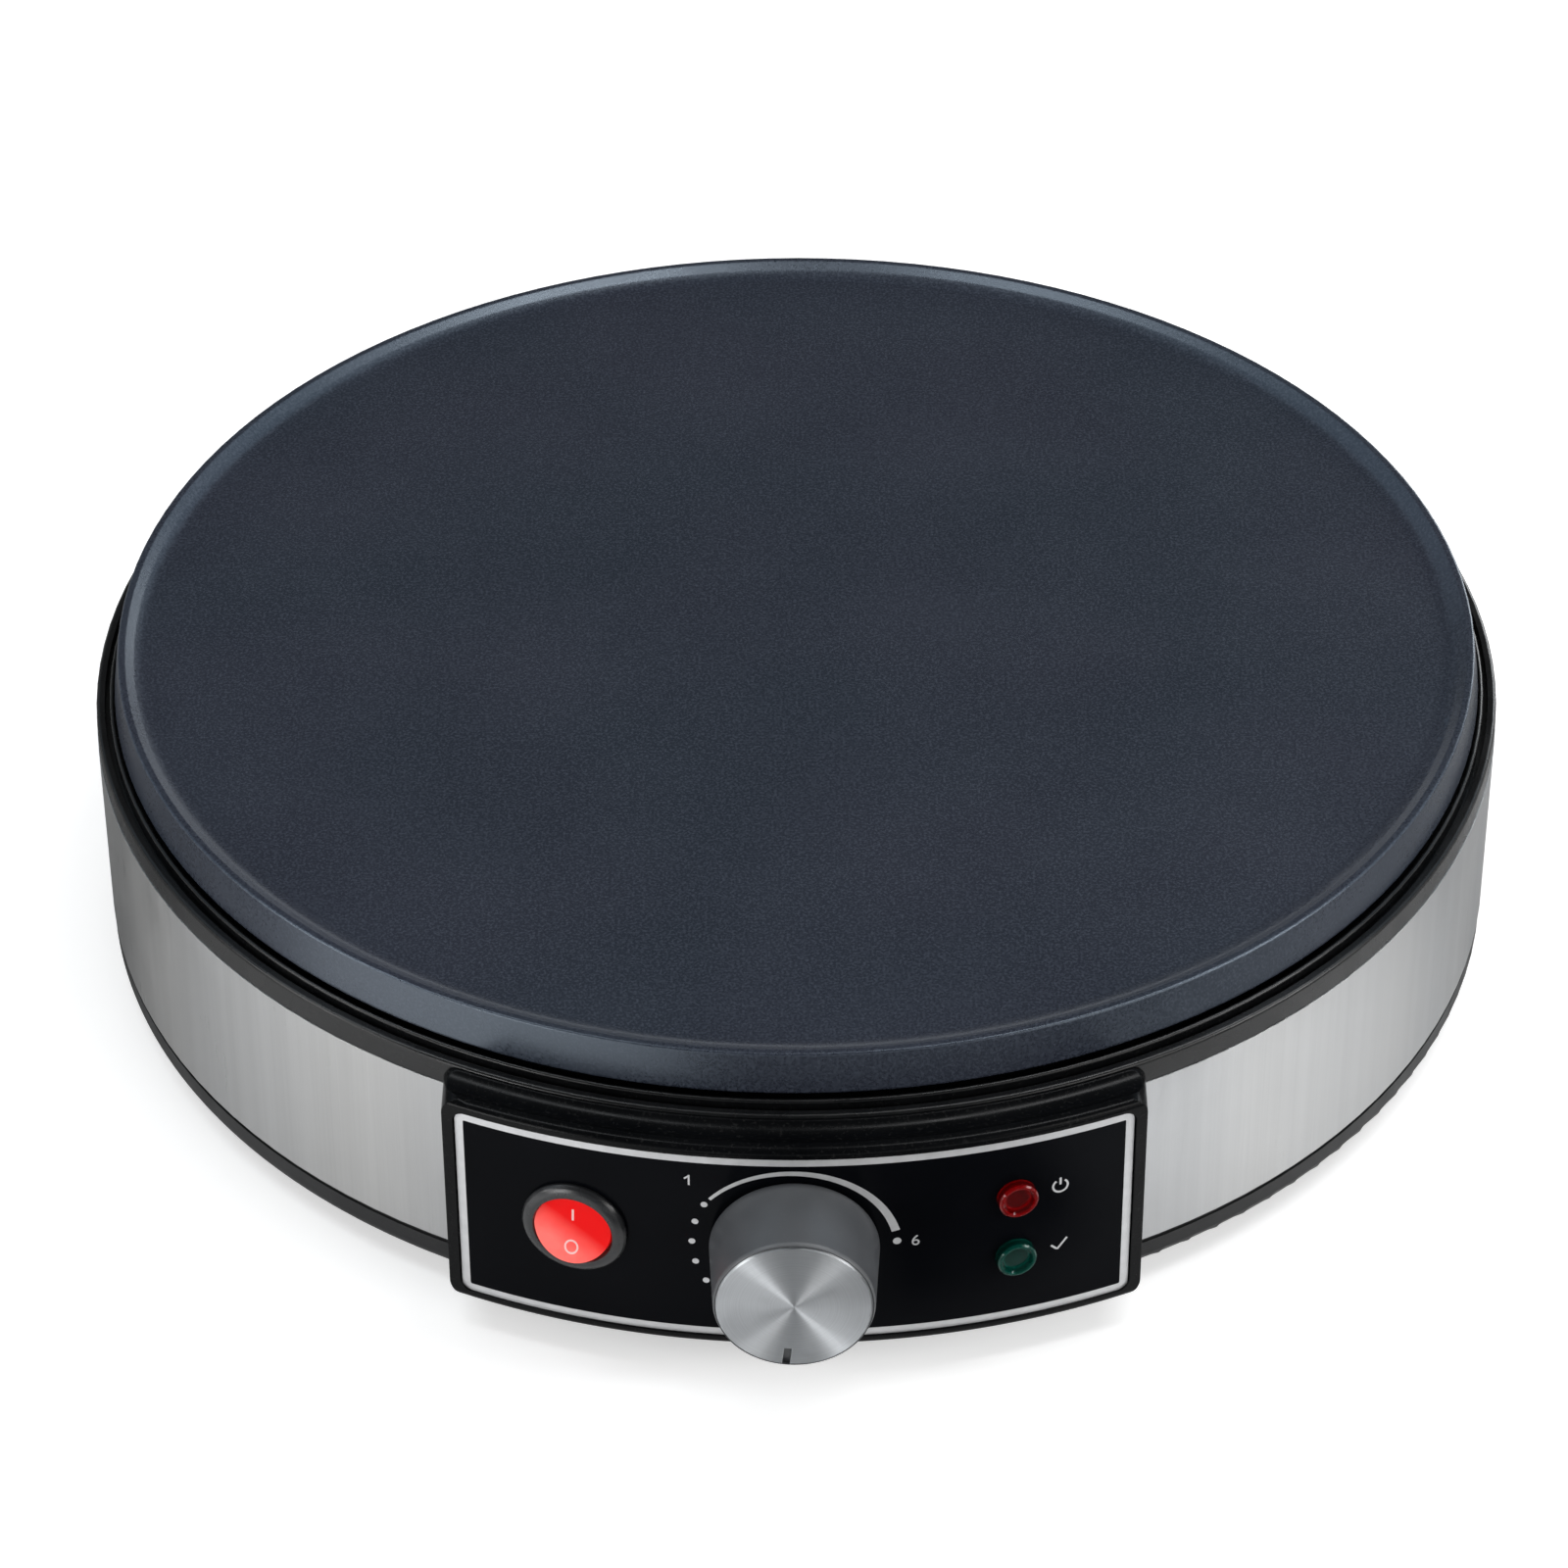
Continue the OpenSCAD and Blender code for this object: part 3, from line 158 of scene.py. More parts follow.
class Recipe(NodeTree):
    """The nodes of one material."""

    def __init__(self, name: str, colour: Colour, roughness: float, **constants: Any) -> None:
        """Starts a material with one Principled shader.

        Args:
            name: the material's name.
            colour: the plain colour, which an export without nodes also uses.
            roughness: the plain roughness.
            constants: other shader sockets by name, with _ for each space.
        """
        self.roughness = roughness
        self.material = bpy.data.materials.new(name)
        self.material.use_nodes = True
        self.material.diffuse_color = (*colour, 1.0)
        super().__init__(self.material.node_tree)
        self.output = self.node("OutputMaterial")
        self.shader = self.node("BsdfPrincipled")
        self.tree.links.new(self.shader.outputs["BSDF"], self.output.inputs["Surface"])
        self.shader.inputs["Base Color"].default_value = (*colour, 1.0)
        self.shader.inputs["Roughness"].default_value = roughness
        for key, value in constants.items():
            self.shader.inputs[key.replace("_", " ")].default_value = value

    def place(self, grain: Grain = Grain.EVEN) -> Socket:
        """The object's own coordinates, squeezed along the grain."""
        coords = self.node("TexCoord").outputs["Object"]
        if grain is Grain.EVEN:
            return coords
        return self.node("Mapping", {"Vector": coords, "Scale": grain.value}).outputs["Vector"]

    def parts_from(self, centre: Point3) -> Any:
        """The three coordinates of a point, counted from a centre."""
        away = tuple(-value for value in centre)
        moved = self.node("Mapping", {"Vector": self.place(), "Location": away})
        return self.node("SeparateXYZ", {0: moved.outputs["Vector"]}).outputs

    def noise(self, size_mm: float, grain: Grain = Grain.EVEN, detail: float = 2.0) -> Socket:
        """Noise with lumps of a given size: from 0 to 1, and mostly from 0.3 to 0.7."""
        inputs = {"Vector": self.place(grain), "Scale": 1 / (size_mm * MM), "Detail": detail}
        return self.node("TexNoise", inputs).outputs["Fac"]

    def mottle(self, size_mm: float, detail: float, first: Colour, second: Colour) -> Socket:
        """Two colours that run into each other in patches of a given size."""
        return self.blend(self.spread(self.noise(size_mm, detail=detail), 0, 1), first, second)

    def patches(
        self, size_mm: float, smoother: float, rougher: float, detail: float = 2.0
    ) -> Socket:
        """The plain roughness, lower in some patches and higher in others."""
        low, high = self.roughness - smoother, self.roughness + rougher
        return self.spread(self.noise(size_mm, detail=detail), low, high)

    def edges(self, radius_mm: float, reach: float = 0.12) -> Socket:
        """How near a sharp edge a point is, from 0 on a flat to 1 on an edge.

        Args:
            radius_mm: how far from the edge it still counts.
            reach: the bend at which it counts fully.
        """
        soft = self.node("Bevel", {"Radius": radius_mm * MM}, samples=4).outputs["Normal"]
        plain = self.node("NewGeometry").outputs["Normal"]
        return self.spread(self.vector("DOT_PRODUCT", soft, plain), 1.0, 0.0, 1.0 - reach, 1.0)

    def relief(self, height: Any, depth_mm: float, round_mm: float = 0.0) -> None:
        """Gives the shader its fine relief, of 0 to 1, and sharp edges that look rounded."""
        inputs: dict[Any, Any] = {"Height": height, "Distance": depth_mm * MM, "Strength": 1.0}
        if round_mm:
            rounded = self.node("Bevel", {"Radius": round_mm * MM}, samples=6)
            inputs["Normal"] = rounded.outputs["Normal"]
        self.feed(self.shader.inputs["Normal"], self.node("Bump", inputs).outputs["Normal"])

    def set(self, socket: str, value: Any) -> None:
        """Gives one of the shader's sockets its value."""
        self.feed(self.shader.inputs[socket], value)

    def draw_out(self, way: Any) -> None:
        """Draws the highlights out along a way, given in the object's own space."""
        settings = {"vector_type": "VECTOR", "convert_from": "OBJECT", "convert_to": "WORLD"}
        turned = self.node("VectorTransform", {0: way}, **settings).outputs[0]
        self.set("Tangent", self.node("VectorMath", {0: turned}, operation="NORMALIZE").outputs[0])


@dataclass(frozen=True)
class Finish:
    """What all finishes have."""

    name: str
    colour: Colour
    roughness: float = 0.4

    def material(self) -> Material:
        """Makes the material. Each kind of finish has its own way."""
        raise NotImplementedError

    def recipe(self, **constants: Any) -> Recipe:
        """A recipe in the finish's name, plain colour and plain roughness."""
        return Recipe(self.name, self.colour, self.roughness, **constants)

    def shade(self, times: float, plus: float = 0.0) -> Colour:
        """The finish's colour times a number, plus another, and white at most."""
        red, green, blue = (min(1.0, value * times + plus) for value in self.colour)
        return red, green, blue

    def on(self, *names: str) -> None:
        """Puts the finish on the CAD nodes of these names."""
        made = self.material()
        for name in names:
            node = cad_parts[name]
            if not node.material_slots:
                node.data.materials.append(made)
            for slot in node.material_slots:
                slot.material = made


@dataclass(frozen=True)
class Coating(Finish):
    """A baked non-stick coating: a dark paint with fine pale flecks on an orange-peel skin."""

    fleck: Colour = (0.06, 0.07, 0.095)
    fleck_most: float = 0.45
    pebble_mm: float = 0.6
    pebble_deep_mm: float = 0.012
    pebble_rough: float = 0.03
    drift_mm: float = 70
    drift_tints: tuple[Colour, Colour] = ((0.92, 1.0, 1.0), (1.08, 1.0, 1.03))
    wiped_mm: float = 60
    wiped_most: float = 0.05
    round_mm: float = 0.6
    mirror_tint: Colour = (0.74, 0.87, 1.0)

    def material(self) -> Material:
        """Makes the coating."""
        made = self.recipe(Specular_IOR_Level=1.0, Specular_Tint=(*self.mirror_tint, 1.0))
        cool, warm = (
            tuple(value * share for value, share in zip(self.colour, tint))
            for tint in self.drift_tints
        )
        drift = made.spread(made.noise(self.drift_mm, detail=1), 0, 1, start=0.35, end=0.65)
        base = made.blend(drift, cool, warm)
        pebbles = made.noise(self.pebble_mm, detail=1)
        flecks = made.spread(pebbles, 0, self.fleck_most, start=0.45, end=0.75)
        colour = made.blend(flecks, base, self.fleck)
        wiped = made.noise(self.wiped_mm, detail=2)
        wiped = made.spread(wiped, 0, self.wiped_most, start=0.4, end=0.7)
        made.set("Base Color", made.blend(wiped, colour, self.fleck))
        rough = made.patches(30, smoother=0.02, rougher=0.02)
        bumps = made.spread(pebbles, -self.pebble_rough, self.pebble_rough)
        made.set("Roughness", made.math("ADD", rough, bumps))
        made.relief(pebbles, self.pebble_deep_mm, self.round_mm)
        return made.material


@dataclass(frozen=True)
class Brushed(Finish):
    """Brushed stainless steel, with broad bluish-grey upright bands at random places as a painted
    reflection.
    """

    streak_mm: float = 0.5
    streak_deep_mm: float = 0.006
    streak_rough: float = 0.05
    broad_mm: float = 4.5
    reflection_band_mm: float = 60
    reflection_grey: Colour = (0.28, 0.31, 0.36)
    reflection_share: float = 0.22

    def material(self) -> Material:
        """Makes the brushed metal."""
        made = self.recipe(Metallic=1.0, Anisotropic=0.85)
        fine = made.noise(self.streak_mm, Grain.UPRIGHT, detail=3)
        broad = made.noise(self.broad_mm, Grain.UPRIGHT, detail=2)
        tone = made.math("ADD", made.spread(fine, -0.5, 0.5), made.spread(broad, -0.5, 0.5))
        tone = made.spread(tone, 0, 1, start=-0.9, end=0.9)
        sheet = made.blend(tone, self.shade(0.93), self.shade(1.05))
        # painted reflection: broad bluish-grey upright bands, at random places, darken the steel's
        # colour
        reflection_bands = made.noise(self.reflection_band_mm, Grain.UPRIGHT, detail=1)
        reflection_bands = made.spread(reflection_bands, 0, 1, start=0.35, end=0.65)
        grey = made.blend(self.reflection_share, sheet, self.reflection_grey)
        made.set("Base Color", made.blend(reflection_bands, sheet, grey))
        streaks = made.spread(fine, -self.streak_rough, self.streak_rough)
        smear = made.patches(22, smoother=0.03, rougher=0.04, detail=3)
        made.set("Roughness", made.math("ADD", streaks, smear))
        made.relief(fine, self.streak_deep_mm, round_mm=0.15)
        parts = made.node("SeparateXYZ", {0: made.place()}).outputs
        round_about = {0: made.times(parts[1], -1.0), 1: parts[0]}
        made.draw_out(made.node("CombineXYZ", round_about).outputs[0])
        return made.material


@dataclass(frozen=True)
class Turned(Finish):
    """Metal faced on a lathe about an axis along Y: fine rings that draw the light into wedges."""

    centre: Point3 = (0.0, 0.0, 0.0)
    ring_mm: float = 0.35
    ring_deep_mm: float = 0.003
    ring_rough: float = 0.03

    def material(self) -> Material:
        """Makes the turned metal."""
        made = self.recipe(Metallic=1.0, Anisotropic=0.97)
        across, _, up = made.parts_from(self.centre)
        squares = (made.math("POWER", side, 2.0) for side in (across, up))
        radius = made.math("SQRT", made.math("ADD", *squares))
        inputs = {"W": radius, "Scale": 1 / (self.ring_mm * MM), "Detail": 2.0}
        rings = made.node("TexNoise", inputs, noise_dimensions="1D").outputs["Fac"]
        made.draw_out(made.node("CombineXYZ", {0: across, 2: up}).outputs[0])
        made.set("Base Color", made.blend(made.spread(rings, 0, 1), self.shade(0.9), self.colour))
        grooves = made.spread(rings, -self.ring_rough, self.ring_rough)
        smear = made.patches(7, smoother=0.02, rougher=0.03, detail=3)
        made.set("Roughness", made.math("ADD", grooves, smear))
        made.relief(rings, self.ring_deep_mm, round_mm=0.12)
        return made.material


@dataclass(frozen=True)
class Moulded(Finish):
    """Moulded plastic or rubber: a spark-eroded skin, with paler rubbed edges and some dust."""

    skin_mm: float = 0.35
    skin_deep_mm: float = 0.012
    sheen: float = 0.4
    rubbed: float = 0.3
    rubbed_least: float = 0.2
    round_mm: float = 0.25
    dust: Colour = (0.25, 0.25, 0.24)
    dust_mm: float = 0.8
    dust_most: float = 0.03

    def material(self) -> Material:
        """Makes the plastic."""
        made = self.recipe(Specular_IOR_Level=self.sheen)
        base = made.mottle(25, 3, self.shade(0.85), self.shade(1.2, plus=0.001))
        handled = made.noise(6, detail=3)
        handled = made.spread(handled, self.rubbed_least * self.rubbed, self.rubbed)
        wear = made.times(made.edges(self.round_mm * 1.6), handled)
        base = made.blend(wear, base, self.shade(1.5, plus=0.012))
        dust = made.noise(self.dust_mm, detail=1)
        dust = made.spread(dust, 0, self.dust_most, start=0.6, end=0.78)
        made.set("Base Color", made.blend(dust, base, self.dust))
        made.set("Roughness", made.patches(9, smoother=0.05, rougher=0.06, detail=4))
        made.relief(made.noise(self.skin_mm, detail=2), self.skin_deep_mm, self.round_mm)
        return made.material


@dataclass(frozen=True)
class Gloss(Finish):
    """Back-printed gloss sheet or polished plastic: deep, with faint smears and fine scratches."""

    sheen: float = 0.15
    smear_mm: float = 12
    smear_rough: float = 0.09
    scratch_mm: float = 0.6
    scratch_rough: float = 0.06

    def material(self) -> Material:
        """Makes the gloss sheet."""
        made = self.recipe(Specular_IOR_Level=self.sheen)
        made.set("Base Color", made.mottle(40, 2, self.colour, self.shade(1.35, plus=0.0006)))
        smears = made.noise(self.smear_mm, detail=4)
        smears = made.spread(smears, 0, self.smear_rough, start=0.42, end=0.7)
        hairs = made.noise(self.scratch_mm, Grain.UPRIGHT, detail=1)
        hairs = made.spread(hairs, 0, self.scratch_rough, start=0.62, end=0.7)
        rough = made.math("ADD", self.roughness, made.math("ADD", smears, hairs))
        made.set("Roughness", rough)
        made.relief(made.noise(5, detail=1), depth_mm=0.004, round_mm=0.12)
        return made.material


@dataclass(frozen=True)
class Ink(Finish):
    """Screen-printed ink: an even colour with a fine mesh tooth, and flake in a silver ink."""

    flake: float = 0.0
    mesh_mm: float = 0.16

    def material(self) -> Material:
        """Makes the ink."""
        made = self.recipe(Specular_IOR_Level=0.25, Metallic=self.flake)
        made.set("Base Color", made.mottle(3, 4, self.shade(0.9), self.colour))
        made.set("Roughness", made.patches(0.5, smoother=0.06, rougher=0.06))
        made.relief(made.noise(self.mesh_mm, detail=1), depth_mm=0.004)
        return made.material


@dataclass(frozen=True)
class ClearPlastic(Finish):
    """Coloured see-through plastic, with faint flow lines and a painted highlight that makes its
    edges paler.
    """

    clear: float = 0.9
    bend: float = 1.3
    shine: Colour = (1.0, 1.0, 1.0)
    polish: float = 0.0
    rim: float = 1.0
    rim_mm: float = 1.4

    def material(self) -> Material:
        """Makes the coloured clear plastic."""
        made = self.recipe(
            IOR=self.bend,
            Transmission_Weight=self.clear,
            Specular_Tint=(*self.shine, 1.0),
            Coat_Weight=self.polish,
            Coat_Roughness=0.03,
        )
        base = made.mottle(4, 2, self.shade(0.82), self.colour)
        # painted highlight: the colour is brightened near the edges, as if they caught light
        rim = made.edges(self.rim_mm, reach=0.25)
        made.set("Base Color", made.blend(rim, base, self.shade(self.rim)))
        made.set("Roughness", made.patches(1.5, smoother=0.0, rougher=0.05, detail=3))
        made.relief(made.noise(2.5, detail=1), depth_mm=0.01, round_mm=0.5)
        return made.material


@dataclass(frozen=True)
class PaintedGlowPlastic(Finish):
    """Red plastic, paler and pinker towards the lower left in a painted highlight, and with a
    painted glow.
    """

    centre: Point3 = (0.0, 0.0, 0.0)
    highlight_mm: float = 8.0
    highlight_way: Point2 = (-0.5, -0.8)
    highlight_span: Span = (-0.2, 0.6)
    highlight_pink: Colour = (0.9, 0.15, 0.13)
    painted_glow: float = 0.34
    depth: Colour = (1.0, 0.15, 0.12)
    depth_mm: float = 1.2

    def material(self) -> Material:
        """Makes the plastic with its painted highlight and its painted glow."""
        made = self.recipe(Specular_IOR_Level=0.1, Subsurface_Weight=0.2)
        made.set("Subsurface Radius", self.depth)
        made.set("Subsurface Scale", self.depth_mm * MM)
        across, _, up = made.parts_from(self.centre)
        sideways, downward = (
            made.times(side, share) for side, share in zip((across, up), self.highlight_way)
        )
        low, high = (share * self.highlight_mm * MM for share in self.highlight_span)
        # painted highlight: the colour turns paler and pinker towards the lower left
        highlight_share = made.spread(made.math("ADD", sideways, downward), 0, 1, low, high)
        clouds = made.spread(made.noise(3, detail=2), 0.85, 1.1)
        colour = made.blend(made.times(highlight_share, clouds), self.colour, self.highlight_pink)
        made.set("Base Color", colour)
        # painted glow: the plastic gives off its own colour though no lamp is in it
        made.set("Emission Color", colour)
        made.set("Emission Strength", self.painted_glow)
        made.set("Roughness", made.patches(2.5, smoother=0.03, rougher=0.06, detail=3))
        made.relief(made.noise(4, detail=1), depth_mm=0.006, round_mm=0.2)
        return made.material


@dataclass(frozen=True)
class Metal(Finish):
    """Plain or plated metal as it comes from the press, faintly tarnished."""

    tarnish: Colour = (0.2, 0.18, 0.15)
    tarnish_mm: float = 6
    tarnish_most: float = 0.35

    def material(self) -> Material:
        """Makes the metal."""
        made = self.recipe(Metallic=1.0)
        stain = made.noise(self.tarnish_mm, detail=5)
        stain = made.spread(stain, 0, self.tarnish_most, start=0.45, end=0.75)
        made.set("Base Color", made.blend(stain, self.colour, self.tarnish))
        made.set("Roughness", made.patches(3, smoother=0.06, rougher=0.12, detail=4))
        made.relief(made.noise(0.5, detail=3), depth_mm=0.008, round_mm=0.12)
        return made.material


@dataclass(frozen=True)
class Mineral(Finish):
    """Fired ceramic or mica: chalky, faintly mottled."""

    chalk_mm: float = 0.4

    def material(self) -> Material:
        """Makes the mineral."""
        made = self.recipe(Specular_IOR_Level=0.3)
        made.set("Base Color", made.mottle(1.2, 5, self.shade(0.8), self.colour))
        made.set("Roughness", made.patches(2, smoother=0.08, rougher=0.08))
        made.relief(made.noise(self.chalk_mm, detail=4), depth_mm=0.02, round_mm=0.15)
        return made.material


# ---- modelling by hand


class Bench:
    """Blender's own modelling steps, each on the piece in hand."""

    @staticmethod
    def clear() -> None:
        """Lets go of everything that is selected."""
        bpy.ops.object.select_all(action="DESELECT")

    @staticmethod
    def take(name: str) -> Piece:
        """Names the piece that was just added, and takes it in hand alone."""
        piece = bpy.context.object
        piece.name = name
        piece.data.name = name
        Bench.hold(piece)
        return piece

    @staticmethod
    def hold(piece: Piece) -> None:
        """Takes a piece in hand alone."""
        Bench.clear()
        piece.select_set(True)
        bpy.context.view_layer.objects.active = piece

    @staticmethod
    def settle(piece: Piece) -> None:
        """Puts the piece's place, turn and size into its mesh."""
        Bench.hold(piece)
        bpy.ops.object.transform_apply(location=True, rotation=True, scale=True)

    @staticmethod
    def edit(*steps: Callable[[], Any]) -> None:
        """Works through steps in edit mode, starting with all of the piece selected."""
        bpy.ops.object.mode_set(mode="EDIT")
        bpy.ops.mesh.select_all(action="SELECT")
        for step in steps:
            step()
        bpy.ops.object.mode_set(mode="OBJECT")

    @staticmethod
    def thicken(piece: Piece, depth: float) -> None:
        """Turns a flat piece that faces up into a solid that rises from its plane."""
        step = piece.modifiers.new("thickness", "SOLIDIFY")
        step.thickness = depth
        step.offset = 1.0
        bpy.ops.object.modifier_apply(modifier=step.name)

    @staticmethod
    def dress(piece: Piece, material: Material, body: Body, slot: str | None = None) -> None:
        """Gives a piece its material and the body it rides on."""
        piece.data.materials.clear()
        piece.data.materials.append(material)
        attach(piece, body.value)
        log.info("%s: %d faces, on %s", piece.name, len(piece.data.polygons), body.value)


@dataclass(frozen=True)
class Print:
    """The ink printed on the curved fascia. Places are along the face and up from the worktop."""

    ink_t: float = 0.05 * MM
    ink_sunk: float = 0.03 * MM
    bend_step: float = 2.5 * MM
    line_step: float = 0.35 * MM
    text_size: float = 1.38

    def curve(self, piece: Piece) -> Piece:
        """Wraps a flat piece round the fascia: X runs along the face, Y up it, Z out of it."""
        for vertex in piece.data.vertices:
            along, up, out = vertex.co
            angle = along / FACE_R
            radius = FACE_R + out - self.ink_sunk
            vertex.co = (radius * math.sin(angle), -radius * math.cos(angle), up)
        piece.data.update()
        return piece

    def finish(self, piece: Piece) -> Piece:
        """Thickens a flat print and wraps it round the fascia."""
        Bench.settle(piece)
        Bench.thicken(piece, self.ink_t + self.ink_sunk)
        return self.curve(piece)

    def dot(self, name: str, place: Point2, across: float) -> Piece:
        """A round dot on the fascia, with its centre at a place."""
        Bench.clear()
        bpy.ops.mesh.primitive_circle_add(
            vertices=28, radius=across / 2, fill_type="NGON", location=(*place, 0)
        )
        piece = Bench.take(name)
        Bench.edit(lambda: bpy.ops.mesh.inset(thickness=across * 0.12, depth=0))
        return self.finish(piece)

    def stroke(
        self, name: str, centre: Point2, radius: float, arc: Span, widths: Point2
    ) -> Piece:
        """A line round part of a circle, which may swell on its way.

        Args:
            name: the piece's name.
            centre: the circle's centre.
            radius: the line's middle radius.
            arc: the angle where it starts, anticlockwise from the right, and how far it
                runs and which way, both in radians.
            widths: its width at its start and at its end.

        Returns:
            The line, flat and not yet wrapped.
        """
        start, sweep = arc
        length = abs(sweep)
        steps = max(8, int(length * radius / self.line_step))
        Bench.clear()
        bpy.ops.mesh.primitive_plane_add(size=1, location=(0, 0, 0))
        piece = Bench.take(name)
        piece.scale = (length, 1, 1)
        Bench.settle(piece)
        Bench.edit(lambda: bpy.ops.mesh.subdivide(number_cuts=1))
        for vertex in piece.data.vertices:
            vertex.co.x += length / 2
        Bench.edit(*(self._cut_at(length * step / steps) for step in range(1, steps)))
        for vertex in piece.data.vertices:
            along, across, _ = vertex.co
            width = widths[0] + (widths[1] - widths[0]) * (along / length)
            angle = start + math.copysign(along, sweep)
            away = radius - across * width * math.copysign(1, sweep)
            vertex.co = (centre[0] + away * math.cos(angle), centre[1] + away * math.sin(angle), 0)
        return piece

    @staticmethod
    def _cut_at(place: float) -> Callable[[], Any]:
        """A step that cuts the piece across at a place along X."""

        def cut() -> None:
            """Selects all and cuts."""
            bpy.ops.mesh.select_all(action="SELECT")
            bpy.ops.mesh.bisect(plane_co=(place, 0, 0), plane_no=(1, 0, 0))

        return cut

    def frame(
        self, name: str, wide: float, edges: Span, line: float, corner: float, foot: float
    ) -> Piece:
        """A rounded frame line round the fascia.

        Args:
            name: the piece's name.
            wide: its outer width along the face.
            edges: its lower and its upper outer edge.
            line: the line's width.
            corner: the outer corner radius.
            foot: how much wider the lower line is.

        Returns:
            The frame, wrapped on the fascia.
        """
        low, high = edges
        middle = (low + high) / 2
        Bench.clear()
        bpy.ops.mesh.primitive_plane_add(size=1, location=(0, middle, 0))
        piece = Bench.take(name)
        piece.scale = (wide, high - low, 1)
        Bench.settle(piece)
        Bench.edit(
            lambda: bpy.ops.mesh.bevel(affect="VERTICES", offset=corner, segments=8),
            lambda: bpy.ops.mesh.select_all(action="SELECT"),
            lambda: bpy.ops.mesh.inset(thickness=line, depth=0),
            lambda: bpy.ops.mesh.delete(type="FACE"),
        )
        for vertex in piece.data.vertices:
            inside = abs(vertex.co.x) < wide / 2 - line + self.ink_t
            if inside and low + line - self.ink_t < vertex.co.y < middle:
                vertex.co.y += foot
        count = int(wide / self.bend_step)
        inner = wide / 2 - corner
        cuts = (self._cut_at(-inner + 2 * inner * step / count) for step in range(count + 1))
        Bench.edit(*cuts)
        return self.finish(piece)

    def number(self, name: str, text: str, place: Point2, height: float) -> Piece:
        """A plain dial number on the fascia, with its centre at a place."""
        Bench.clear()
        bpy.ops.object.text_add(location=(*place, 0))
        letters = bpy.context.object
        letters.data.body = text
        letters.data.align_x = "CENTER"
        letters.data.align_y = "CENTER"
        letters.data.size = height * self.text_size
        letters.data.resolution_u = 6
        Bench.clear()
        letters.select_set(True)
        bpy.ops.object.convert(target="MESH")
        return self.finish(Bench.take(name))

    @staticmethod
    def bar(name: str, place: Point2, wide: float, high: float, lean: float = 0.0) -> Piece:
        """A short flat bar with softened corners, which leans to the left by some degrees."""
        turn = (0, 0, math.radians(lean))
        Bench.clear()
        bpy.ops.mesh.primitive_plane_add(size=1, location=(*place, 0), rotation=turn)
        piece = Bench.take(name)
        piece.scale = (wide, high, 1)
        Bench.settle(piece)
        Bench.edit(lambda: bpy.ops.mesh.bevel(affect="VERTICES", offset=wide * 0.3, segments=3))
        return piece


# ---- sub-assemblies


@dataclass(frozen=True)
class Hotplate:
    """The coated plate, the element clipped under it and what holds them."""

    coating: Finish = Coating("plate coating", (0.0125, 0.0155, 0.0245), 0.3)

    def build(self) -> None:
        """Dresses the plate and the parts under it."""
        self.coating.on("griddle_plate")
        Metal("bright pins", (0.62, 0.6, 0.56), 0.28).on("element_pins")
        Metal("element sheath", (0.16, 0.15, 0.14), 0.5, tarnish=(0.06, 0.05, 0.05)).on(
            "heating_element"
        )
        Metal("plated steel", (0.6, 0.61, 0.6), 0.32).on(
            "element_clips",
            "heat_shield",
            "stud_spacers",
            "plate_studs",
            "stud_nuts",
            "thermostat_bracket",
            "fuse_clip",
        )


@dataclass(frozen=True)
class Drum:
    """The steel band between the black ring and the base, with its feet and screws."""

    def build(self) -> None:
        """Dresses the drum."""
        Brushed("brushed band", (0.57, 0.57, 0.565), 0.34).on("steel_band")
        ring = {"sheen": 0.38, "skin_deep_mm": 0.006}
        Moulded("ring plastic", (0.0028, 0.003, 0.0034), 0.27, **ring).on("trim_ring")
        base = {"sheen": 0.26, "skin_deep_mm": 0.015}
        Moulded("base plastic", (0.012, 0.0123, 0.013), 0.4, **base).on("base_pan")
        foot = {"sheen": 0.25, "skin_mm": 0.6, "skin_deep_mm": 0.03}
        Moulded("foot rubber", rgb(30, 30, 30), 0.72, **foot).on("rubber_feet")
        Metal("screw steel", (0.42, 0.42, 0.43), 0.34).on(
            "drum_screws", "panel_screws", "plate_screws", "clamp_screws", "terminal_screws"
        )


